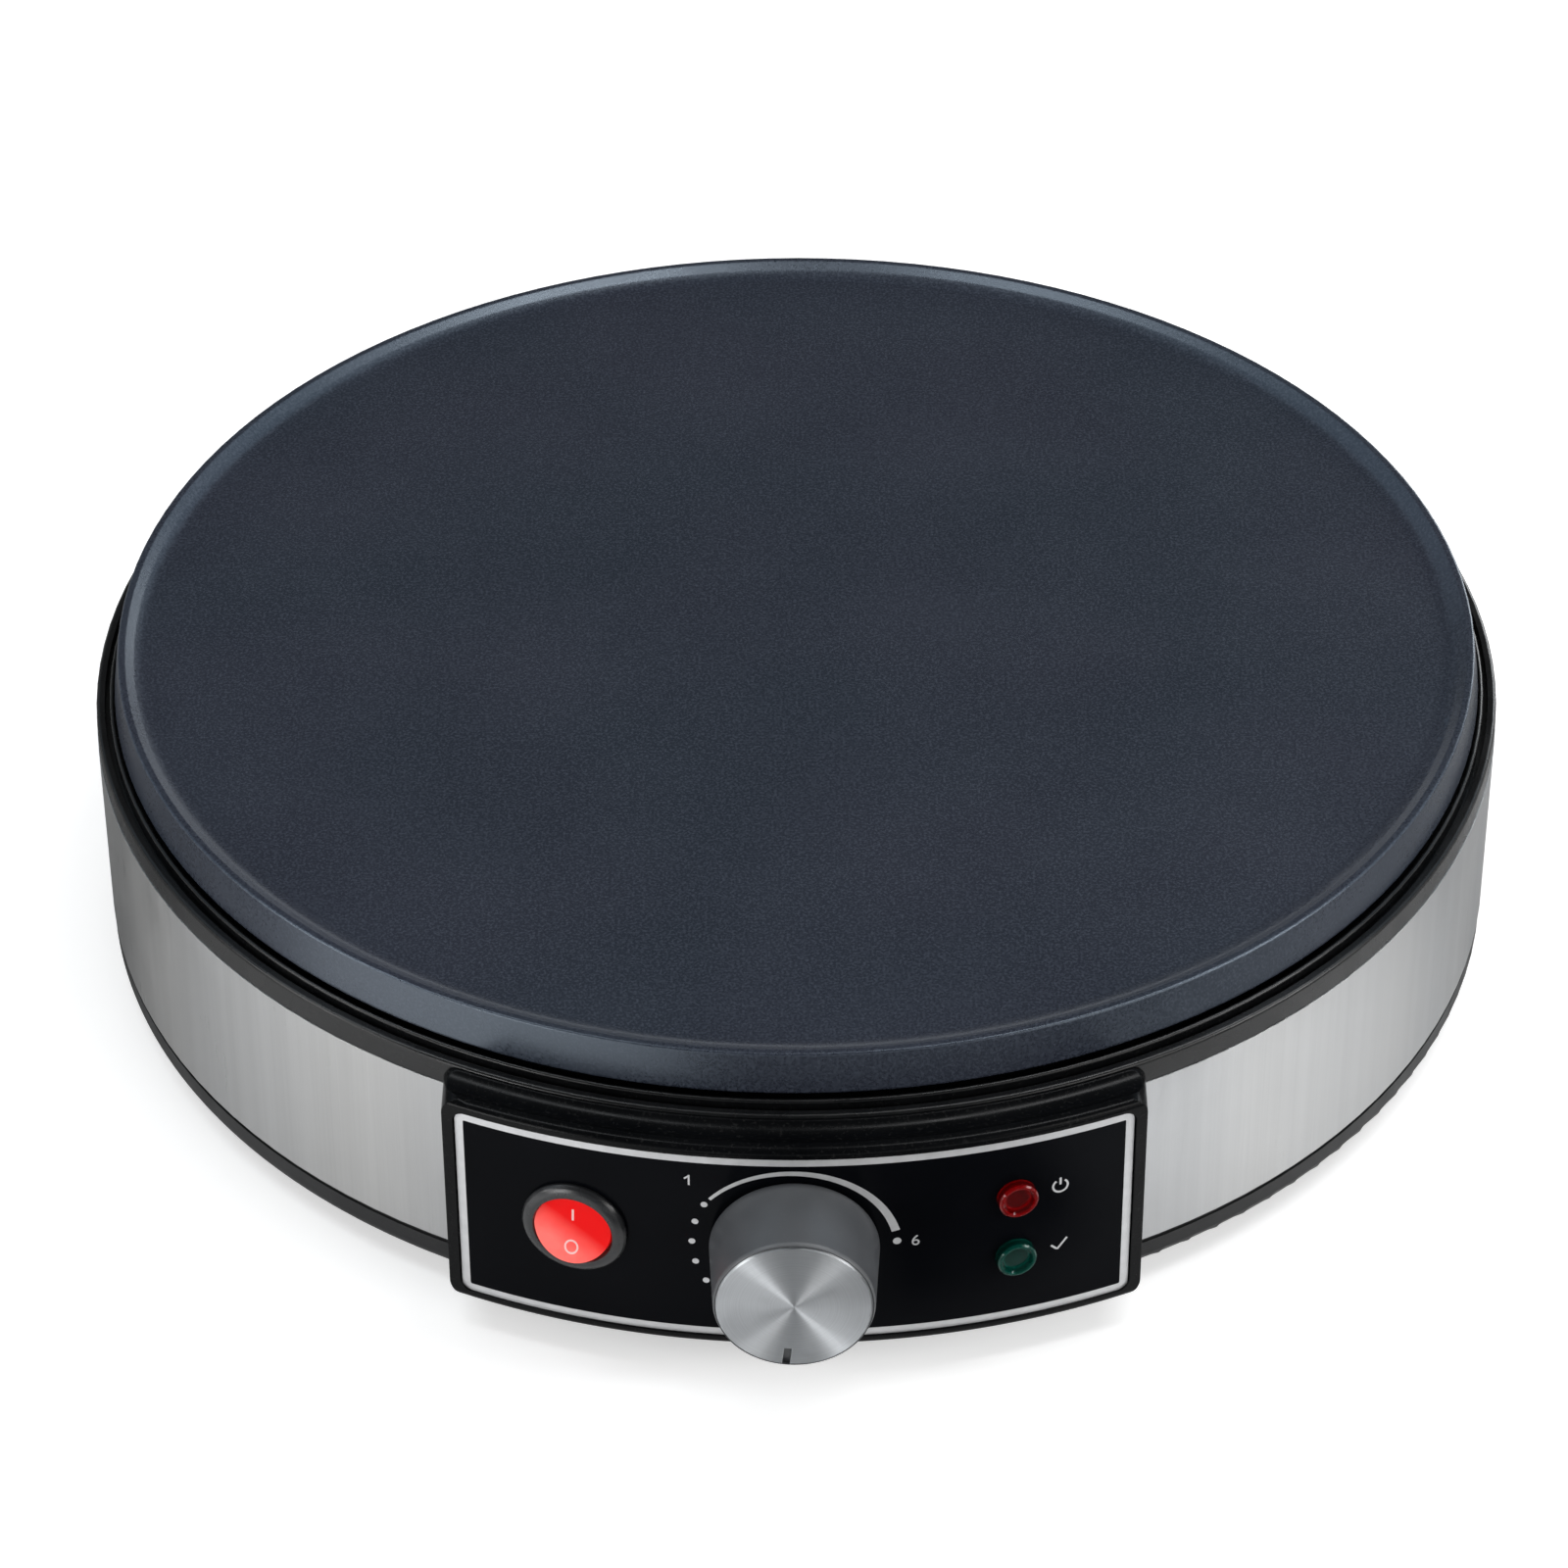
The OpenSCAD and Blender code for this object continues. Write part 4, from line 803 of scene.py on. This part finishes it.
@dataclass(frozen=True)
class ControlPanel:
    """The curved housing, its gloss fascia and the print on it."""

    border_half: float = 24.7
    border_edges: Span = (9.7 * MM, 61.5 * MM)
    border_line: float = 2.0 * MM
    border_foot: float = 0.5 * MM
    border_corner: float = 2.4 * MM
    dot_ring_r: float = 22.15 * MM
    dot_d: float = 1.5 * MM
    last_dot_d: float = 1.85 * MM
    dot_angles: tuple[float, ...] = (210.0, 195.0, 180.0, 165.0, 151.0, 0.0)
    swell: tuple[Point2, Point2, Point2] = ((-18.19, 12.31), (0.56, 20.41), (21.85, 2.98))
    swell_widths: Point2 = (0.75 * MM, 1.85 * MM)
    low_number_at: Point2 = (-22.6 * MM, 54.3 * MM)
    low_flag_at: Point2 = (-23.1 * MM, 55.2 * MM)
    low_flag: Point3 = (0.4 * MM, 1.3 * MM, -50)
    high_number_at: Point2 = (26.2 * MM, 36.6 * MM)
    number_h: float = 3.0 * MM
    mark_line: float = 0.5 * MM
    power_at: Point2 = (58.4 * MM, 45.6 * MM)
    power_r: float = 1.7 * MM
    power_arc: Span = (math.radians(55), math.radians(-290))
    power_bar_up: float = 1.3 * MM
    power_bar_h: float = 2.0 * MM
    tick_short_at: Point2 = (57.35 * MM, 28.1 * MM)
    tick_short: Point2 = (1.9 * MM, 45)
    tick_long_at: Point2 = (59.2 * MM, 28.75 * MM)
    tick_long: Point2 = (3.7 * MM, -38)
    print_work: Print = Print()
    ink: Finish = Ink("silver ink", (0.64, 0.645, 0.655), 0.42, flake=0.45)

    def build(self) -> None:
        """Dresses the housing and prints the fascia."""
        housing = {"sheen": 0.1, "skin_deep_mm": 0.004, "round_mm": 0.4}
        Moulded("housing plastic", (0.0016, 0.0018, 0.0022), 0.22, **housing).on("panel_housing")
        Gloss("gloss fascia", (0.0018, 0.0021, 0.003), 0.12, sheen=0.03).on("panel_fascia")
        ink = self.ink.material()
        for piece in (self.border(), *self.dial(), *self.lamp_marks()):
            Bench.dress(piece, ink, Body.DRUM)

    def border(self) -> Piece:
        """The silver line round the fascia."""
        wide = 2 * math.radians(self.border_half) * FACE_R
        shape = (wide, self.border_edges, self.border_line, self.border_corner, self.border_foot)
        return self.print_work.frame("panel_border", *shape)

    def dial(self) -> list[Piece]:
        """The dots, the swelling line and the two end numbers round the knob."""
        work = self.print_work
        made = []
        for number, degrees in enumerate(self.dot_angles, 1):
            angle = math.radians(degrees)
            across, up = (self.dot_ring_r * turn(angle) for turn in (math.cos, math.sin))
            size = self.dot_d if number < len(self.dot_angles) else self.last_dot_d
            made.append(work.dot(f"dial_dot_{number}", (across, CONTROL_Z + up), size))
        first, middle, last = (Vector(point) * MM for point in self.swell)
        centre, radius = circle_through(first, middle, last)
        start = math.atan2(first.y - centre.y, first.x - centre.x)
        end = math.atan2(last.y - centre.y, last.x - centre.x)
        middle_at = (centre.x, centre.y + CONTROL_Z)
        line = work.stroke("dial_swell", middle_at, radius, (start, end - start), self.swell_widths)
        made.append(work.finish(line))
        made.append(work.number("dial_low_number", "1", self.low_number_at, self.number_h))
        flag = work.bar("dial_low_flag", self.low_flag_at, *self.low_flag)
        made.append(work.finish(flag))
        made.append(work.number("dial_high_number", "6", self.high_number_at, self.number_h))
        return made

    def lamp_marks(self) -> list[Piece]:
        """The power sign and the tick beside the two lamps."""
        work, line = self.print_work, self.mark_line
        across, up = self.power_at
        marks = (
            work.stroke(
                "power_sign_ring", self.power_at, self.power_r, self.power_arc, (line, line)
            ),
            work.bar("power_sign_bar", (across, up + self.power_bar_up), line, self.power_bar_h),
            work.bar("ready_tick_short", self.tick_short_at, line, *self.tick_short),
            work.bar("ready_tick_long", self.tick_long_at, line, *self.tick_long),
        )
        return [work.finish(piece) for piece in marks]


def circle_through(first: Vector, middle: Vector, last: Vector) -> tuple[Vector, float]:
    """The centre and the radius of the circle through three points."""
    a, b = middle - first, last - first
    doubled = 2 * (a.x * b.y - a.y * b.x)
    x = (b.y * a.length_squared - a.y * b.length_squared) / doubled
    y = (a.x * b.length_squared - b.x * a.length_squared) / doubled
    return first + Vector((x, y)), math.hypot(x, y)


@dataclass(frozen=True)
class RockerSwitch:
    """The round rocker switch, with the line and ring on its rocker."""

    angle: float = math.radians(-15.716)
    line_at: Point2 = (0, 4.0 * MM)
    line_size: Point2 = (0.5 * MM, 2.9 * MM)
    ring_at: Point2 = (0, -3.7 * MM)
    ring_r: float = 1.4 * MM
    ring_line: float = 0.4 * MM
    mark_t: float = 0.06 * MM
    merge_under: float = 0.005 * MM
    ray_from: float = 12.0

    def build(self) -> None:
        """Dresses the switch and lays the marks on its rocker."""
        bezel = {"sheen": 0.5, "skin_deep_mm": 0.006, "round_mm": 0.6}
        Moulded("switch black", rgb(30, 31, 33), 0.26, **bezel).on("switch_body")
        centre = tuple(self.middle)
        # the rocker's plastic has a painted highlight and a painted glow
        PaintedGlowPlastic("rocker red", (0.66, 0.003, 0.003), 0.2, centre=centre).on("switch_rocker")
        brass = Metal("contact brass", (0.72, 0.5, 0.2), 0.3, tarnish=(0.3, 0.18, 0.08))
        brass.on("switch_contact", "switch_terminals")
        paint = Ink("mark white", (0.95, 0.62, 0.6), 0.4).material()
        line = Print.bar("rocker_on_line", self.line_at, *self.line_size)
        round_about = (0.0, math.radians(360))
        widths = (self.ring_line, self.ring_line)
        ring = Print().stroke("rocker_off_ring", self.ring_at, self.ring_r, round_about, widths)
        for piece in (line, ring):
            self.lay(piece)
            Bench.dress(piece, paint, Body.ROCKER)

    @property
    def out(self) -> Vector:
        """The way out of the panel at the switch."""
        return Vector((math.sin(self.angle), -math.cos(self.angle), 0))

    @property
    def middle(self) -> Vector:
        """The middle of the switch, on the fascia."""
        return self.out * FACE_R + Vector((0, 0, CONTROL_Z))

    def lay(self, piece: Piece) -> None:
        """Lays a flat mark, X along the panel and Y up from its middle, on the rocker's face."""
        Bench.settle(piece)
        Bench.edit(
            lambda: bpy.ops.mesh.remove_doubles(threshold=self.merge_under),
            lambda: bpy.ops.mesh.select_all(action="SELECT"),
        )
        Bench.thicken(piece, self.mark_t)
        out = self.out
        along = Vector((math.cos(self.angle), math.sin(self.angle), 0))
        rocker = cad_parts["switch_rocker"].data
        rocker.calc_loop_triangles()
        corners = [vertex.co for vertex in rocker.vertices]
        tree = BVHTree.FromPolygons(corners, [tri.vertices[:] for tri in rocker.loop_triangles])
        middle = self.middle
        for vertex in piece.data.vertices:
            place = middle + along * vertex.co.x + Vector((0, 0, vertex.co.y))
            start = place + out * self.ray_from * MM
            hit, _, _, _ = tree.ray_cast(start, -out)
            vertex.co = hit + out * (vertex.co.z - self.mark_t / 2)
        piece.data.update()


@dataclass(frozen=True)
class ThermostatKnob:
    """The knob, its turned cap, and the thermostat that it turns."""

    centre: Point3 = (0.0, 0.0, CONTROL_Z)

    def build(self) -> None:
        """Dresses the knob and the thermostat."""
        skin = {"skin_mm": 0.25, "skin_deep_mm": 0.006, "round_mm": 0.5}
        Moulded("knob grey", rgb(64, 66, 69), 0.4, sheen=0.7, rubbed=0.35, **skin).on("knob_skirt")
        Turned("turned cap", (0.55, 0.57, 0.59), 0.46, centre=self.centre).on("knob_cap")
        Metal("spindle steel", (0.55, 0.55, 0.55), 0.25).on(
            "thermostat_spindle", "thermostat_bush", "thermostat_nut", "stack_rivet"
        )
        Metal("spring leaf", (0.66, 0.55, 0.4), 0.3).on("thermostat_leaves")
        Mineral("stack ceramic", (0.75, 0.72, 0.66), 0.6).on("thermostat_stack")


@dataclass(frozen=True)
class Lamps:
    """The two lamps: a lens each, with a sleeve and a neon lamp behind."""

    def build(self) -> None:
        """Dresses the lamps."""
        lens = {"clear": 0.5, "bend": 1.22, "polish": 0.6}
        # the edges of each lens are made paler by a painted highlight
        red = {"shine": (1.0, 0.03, 0.05), "rim": 4.5}
        ClearPlastic("lens red", (0.13, 0.0005, 0.001), 0.08, **lens, **red).on("power_lens")
        green = {"shine": (0.03, 0.6, 0.5), "rim": 3.5}
        ClearPlastic("lens green", (0.0005, 0.042, 0.03), 0.08, **lens, **green).on("ready_lens")
        Mineral("sleeve nylon", (0.5, 0.49, 0.46), 0.5).on("lamp_sleeves")
        ClearPlastic("neon glass", (0.95, 0.93, 0.9), 0.05).on("neon_lamps")


@dataclass(frozen=True)
class Wiring:
    """The mains side: outlet, block, fuse, caps and wires."""

    def build(self) -> None:
        """Dresses the wiring."""
        Moulded("gland rubber", rgb(24, 24, 25), 0.6, skin_deep_mm=0.02).on("cord_gland")
        Moulded("clamp nylon", rgb(38, 38, 39), 0.5).on("cord_clamp")
        block = Moulded("block nylon", rgb(205, 203, 196), 0.5, rubbed=0.1)
        block.on("terminal_block", "crimp_caps")
        Moulded("wire sleeve", rgb(176, 172, 160), 0.55, skin_mm=0.5, rubbed=0.1).on("wiring")
        Metal("fuse case", (0.62, 0.5, 0.32), 0.3).on("thermal_fuse")


# ---- studio


@dataclass(frozen=True)
class SoftBox:
    """A soft studio lamp."""

    name: str
    place: Point3
    aim: Point3
    size: Point2
    watts: float
    colour: Colour = (1.0, 1.0, 1.0)

    def hang(self) -> None:
        """Hangs the lamp and turns it to what it lights."""
        lamp = bpy.data.lights.new(self.name, "AREA")
        lamp.shape = "RECTANGLE"
        lamp.size, lamp.size_y = self.size
        lamp.energy = self.watts
        lamp.color = self.colour
        held = bpy.data.objects.new(self.name, lamp)
        bpy.context.scene.collection.objects.link(held)
        held.location = self.place
        way = Vector(self.aim) - Vector(self.place)
        held.rotation_euler = way.to_track_quat("-Z", "Y").to_euler()


@dataclass(frozen=True)
class Studio:
    """The floor, the lamps, the world and the camera."""

    camera_at: Point3 = (0.00455829, -1.07550593, 0.85128407)
    camera_turn: Point3 = (52.567602, 0.226214, 0.228469)
    lens: float = 129.14199
    sensor: float = 36.0
    clip: Span = (0.05, 30)
    ambient: float = 0.36
    ceiling: float = 0.08
    ceiling_rise: Span = (0.02, 0.22)
    behind_camera: float = 0.25
    behind_width: Span = (0.06, 0.3)
    behind_depth: Span = (-0.9, -0.5)
    left_rear: float = 0.25
    left_rear_x: Span = (-0.6, -0.2)
    left_rear_y: Span = (0.1, 0.4)
    side_cards: Point2 = (0.5, 0.55)
    side_card_way: Point3 = (0.64, 0.42, 0.64)
    side_card_edge: Span = (0.85, 0.94)
    cool: Colour = (0.7, 0.86, 1.0)
    floor_size: float = 8
    floor_greys: tuple[Colour, Colour] = ((0.79, 0.79, 0.79), (0.81, 0.81, 0.81))
    floor_grey_mm: float = 300
    floor_lift: float = 0.25
    floor_seen: float = 0.2
    floor_seen_far: Span = (0.7, 2.5)
    card_left: float = 0.2
    card_right: float = 0.45
    card_far: float = 0.1
    card_white: float = 3.0
    front_left: float = 0.78
    ahead_y: float = 0.025
    ahead_edge: Span = (0.055, 0.14)
    panel_x: float = 0.06
    panel_edge: Span = (0.025, 0.045)
    panel_y: Span = (-0.2, -0.18)
    side_edge: Span = (-0.1, 0.1)
    front_edge: Span = (-0.15, 0.12)
    white_x: Span = (-0.14, -0.06)
    white_y: Span = (-0.2, -0.12)
    near_edge: Span = (0.235, 0.285)
    far_edge: Span = (0.42, 0.6)
    lamps: tuple[SoftBox, ...] = (
        SoftBox("right strip", (0.7, 0.05, 1.5), (0, 0, 0), (0.26, 1.2), 9.5, (0.98, 0.99, 1.0)),
        SoftBox("left strip", (-0.72, 0.05, 1.5), (0, 0, 0), (0.24, 1.1), 6, (0.93, 0.97, 1.0)),
        SoftBox("right side", (1.2, -0.4, 0.5), (0, -0.15, 0.04), (0.5, 0.4), 5.5),
        SoftBox("left side", (-1.2, -0.4, 0.5), (0, -0.15, 0.04), (0.5, 0.4), 4),
        SoftBox("right rear", (0.85, 1.15, 0.42), (0, 0, 0.05), (0.6, 0.4), 5.5, (0.95, 0.98, 1.0)),
        SoftBox("left front", (-0.95, -1.1, 0.3), (0, -0.1, 0.04), (0.5, 0.35), 4.2),
        SoftBox("right front", (1.1, -1.1, 0.7), (0, -0.1, 0.04), (0.7, 0.6), 4, (1, 0.985, 0.96)),
    )

    def build(self) -> None:
        """Sets the studio up."""
        for lamp in self.lamps:
            lamp.hang()
        self.world()
        self.floor()
        self.camera()

    def world(self) -> None:
        """A room that is white where it is looked at and grey elsewhere.

        What shines also sees its ceiling, the darker end where a photographer stands, a dark flag
        at the left rear, and a pale card high up on each side.
        """
        world = bpy.data.worlds.new("studio")
        world.use_nodes = True
        bpy.context.scene.world = world
        made = NodeTree(world.node_tree)
        path = made.node("LightPath").outputs
        way = made.node("TexCoord").outputs["Generated"]
        x, y, z = made.node("SeparateXYZ", {0: way}).outputs
        sideways = made.math("ABSOLUTE", x)
        height = made.spread(z, 1.0, self.ceiling, *self.ceiling_rise)
        aside = made.spread(sideways, 1.0, 0.0, *self.behind_width)
        end = made.times(aside, made.spread(y, 1.0, 0.0, *self.behind_depth))
        dim = made.spread(end, 1.0, self.behind_camera, 0.0, 1.0)
        left = made.spread(x, 1.0, 0.0, *self.left_rear_x)
        corner = made.times(left, made.spread(y, 0.0, 1.0, *self.left_rear_y))
        flag = made.spread(corner, 1.0, self.left_rear, 0.0, 1.0)
        mirrored = made.times(made.times(height, dim), flag)
        outward = made.node("CombineXYZ", {0: sideways, 1: y, 2: z}).outputs[0]
        towards = made.vector("DOT_PRODUCT", outward, self.side_card_way)
        card = made.spread(towards, 0.0, 1.0, *self.side_card_edge)
        bright = made.spread(x, *self.side_cards, start=-0.05, end=0.05)
        mirrored = made.math("ADD", mirrored, made.times(card, bright))
        straight = made.math("MAXIMUM", path["Is Camera Ray"], path["Is Transmission Ray"])
        level = made.mix(path["Is Glossy Ray"], self.ambient, mirrored)
        strength = made.mix(straight, level, 1.0)
        cooled = made.times(made.math("MAXIMUM", end, card), path["Is Glossy Ray"])
        cool = made.blend(cooled, (1.0, 1.0, 1.0), self.cool)
        room = made.node("Background", {0: cool, 1: strength})
        made.node("OutputWorld", {0: room.outputs[0]})

    def floor(self) -> None:
        """Lays the pale floor, which is clear from below."""
        Bench.clear()
        bpy.ops.mesh.primitive_plane_add(size=self.floor_size, location=(0, 0, 0))
        floor = Bench.take("studio_floor")
        Bench.settle(floor)
        made = Recipe("pale floor", (0.8, 0.8, 0.8), 0.9, Specular_IOR_Level=0.0)
        path = made.node("LightPath").outputs
        pale = made.mottle(self.floor_grey_mm, 2, *self.floor_greys)
        cards = made.mix(path["Is Glossy Ray"], 1.0, self.cards(made))
        made.set("Base Color", made.blend(cards, (0.0, 0.0, 0.0), pale))
        made.set("Emission Color", (1, 1, 1, 1))
        paler = made.spread(self.away(made), self.floor_seen, 1.0, *self.floor_seen_far)
        seen = made.times(path["Is Camera Ray"], paler)
        lift = made.times(made.looked_at(), self.floor_lift)
        made.set("Emission Strength", made.math("ADD", seen, made.times(lift, cards)))
        clear = made.node("BsdfTransparent")
        behind = made.node("NewGeometry").outputs["Backfacing"]
        mixed = made.node("MixShader", {0: behind, 1: made.shader.outputs[0], 2: clear.outputs[0]})
        made.tree.links.new(mixed.outputs[0], made.output.inputs["Surface"])
        floor.data.materials.append(made.material)

    def cards(self, made: Recipe) -> Socket:
        """The share of the floor's own brightness that shiny surfaces see.

        Dark cards lie beside the object and before its panel, and a white one at its front left.
        """
        x, y, _ = made.node("SeparateXYZ", {0: made.place()}).outputs
        ahead = made.math("ABSOLUTE", made.math("SUBTRACT", y, self.ahead_y))
        ahead = made.spread(ahead, 0.0, 1.0, *self.ahead_edge)
        beside = made.spread(x, self.card_left, self.card_right, *self.side_edge)
        panel = made.math("ABSOLUTE", made.math("SUBTRACT", x, self.panel_x))
        panel = made.spread(panel, 1.0, 0.0, *self.panel_edge)
        panel = made.times(panel, made.spread(y, 1.0, 0.0, *self.panel_y))
        front = made.spread(x, self.front_left, 1.0, *self.front_edge)
        highlight_share = made.mix(ahead, beside, made.mix(panel, front, self.card_far))
        white = made.spread(x, 1.0, 0.0, *self.white_x)
        white = made.times(made.spread(y, 1.0, 0.0, *self.white_y), white)
        far = made.mix(white, self.card_far, self.card_white)
        out = self.away(made)
        beyond = made.mix(made.spread(out, 0.0, 1.0, *self.far_edge), far, 1.0)
        return made.mix(made.spread(out, 0.0, 1.0, *self.near_edge), highlight_share, beyond)

    @staticmethod
    def away(made: Recipe) -> Socket:
        """How far a point of the floor is from its middle."""
        return made.vector("LENGTH", made.place())

    def camera(self) -> None:
        """Sets the camera up."""
        view = bpy.data.cameras.new("view")
        view.lens = self.lens
        view.sensor_width = self.sensor
        view.clip_start, view.clip_end = self.clip
        held = bpy.data.objects.new("view", view)
        bpy.context.scene.collection.objects.link(held)
        held.location = self.camera_at
        held.rotation_euler = tuple(math.radians(angle) for angle in self.camera_turn)
        bpy.context.scene.camera = held


def main() -> None:
    """Builds and dresses the crepe maker and sets up its studio."""
    logging.basicConfig(level=logging.INFO, format="%(name)s: %(message)s")
    bpy.context.scene.view_settings.view_transform = "Standard"
    parts = (Hotplate, Drum, ControlPanel, RockerSwitch, ThermostatKnob, Lamps, Wiring)
    for part in (Studio, *parts):
        part().build()
        log.info("%s is done", part.__name__)


if __name__ == "__main__":
    main()
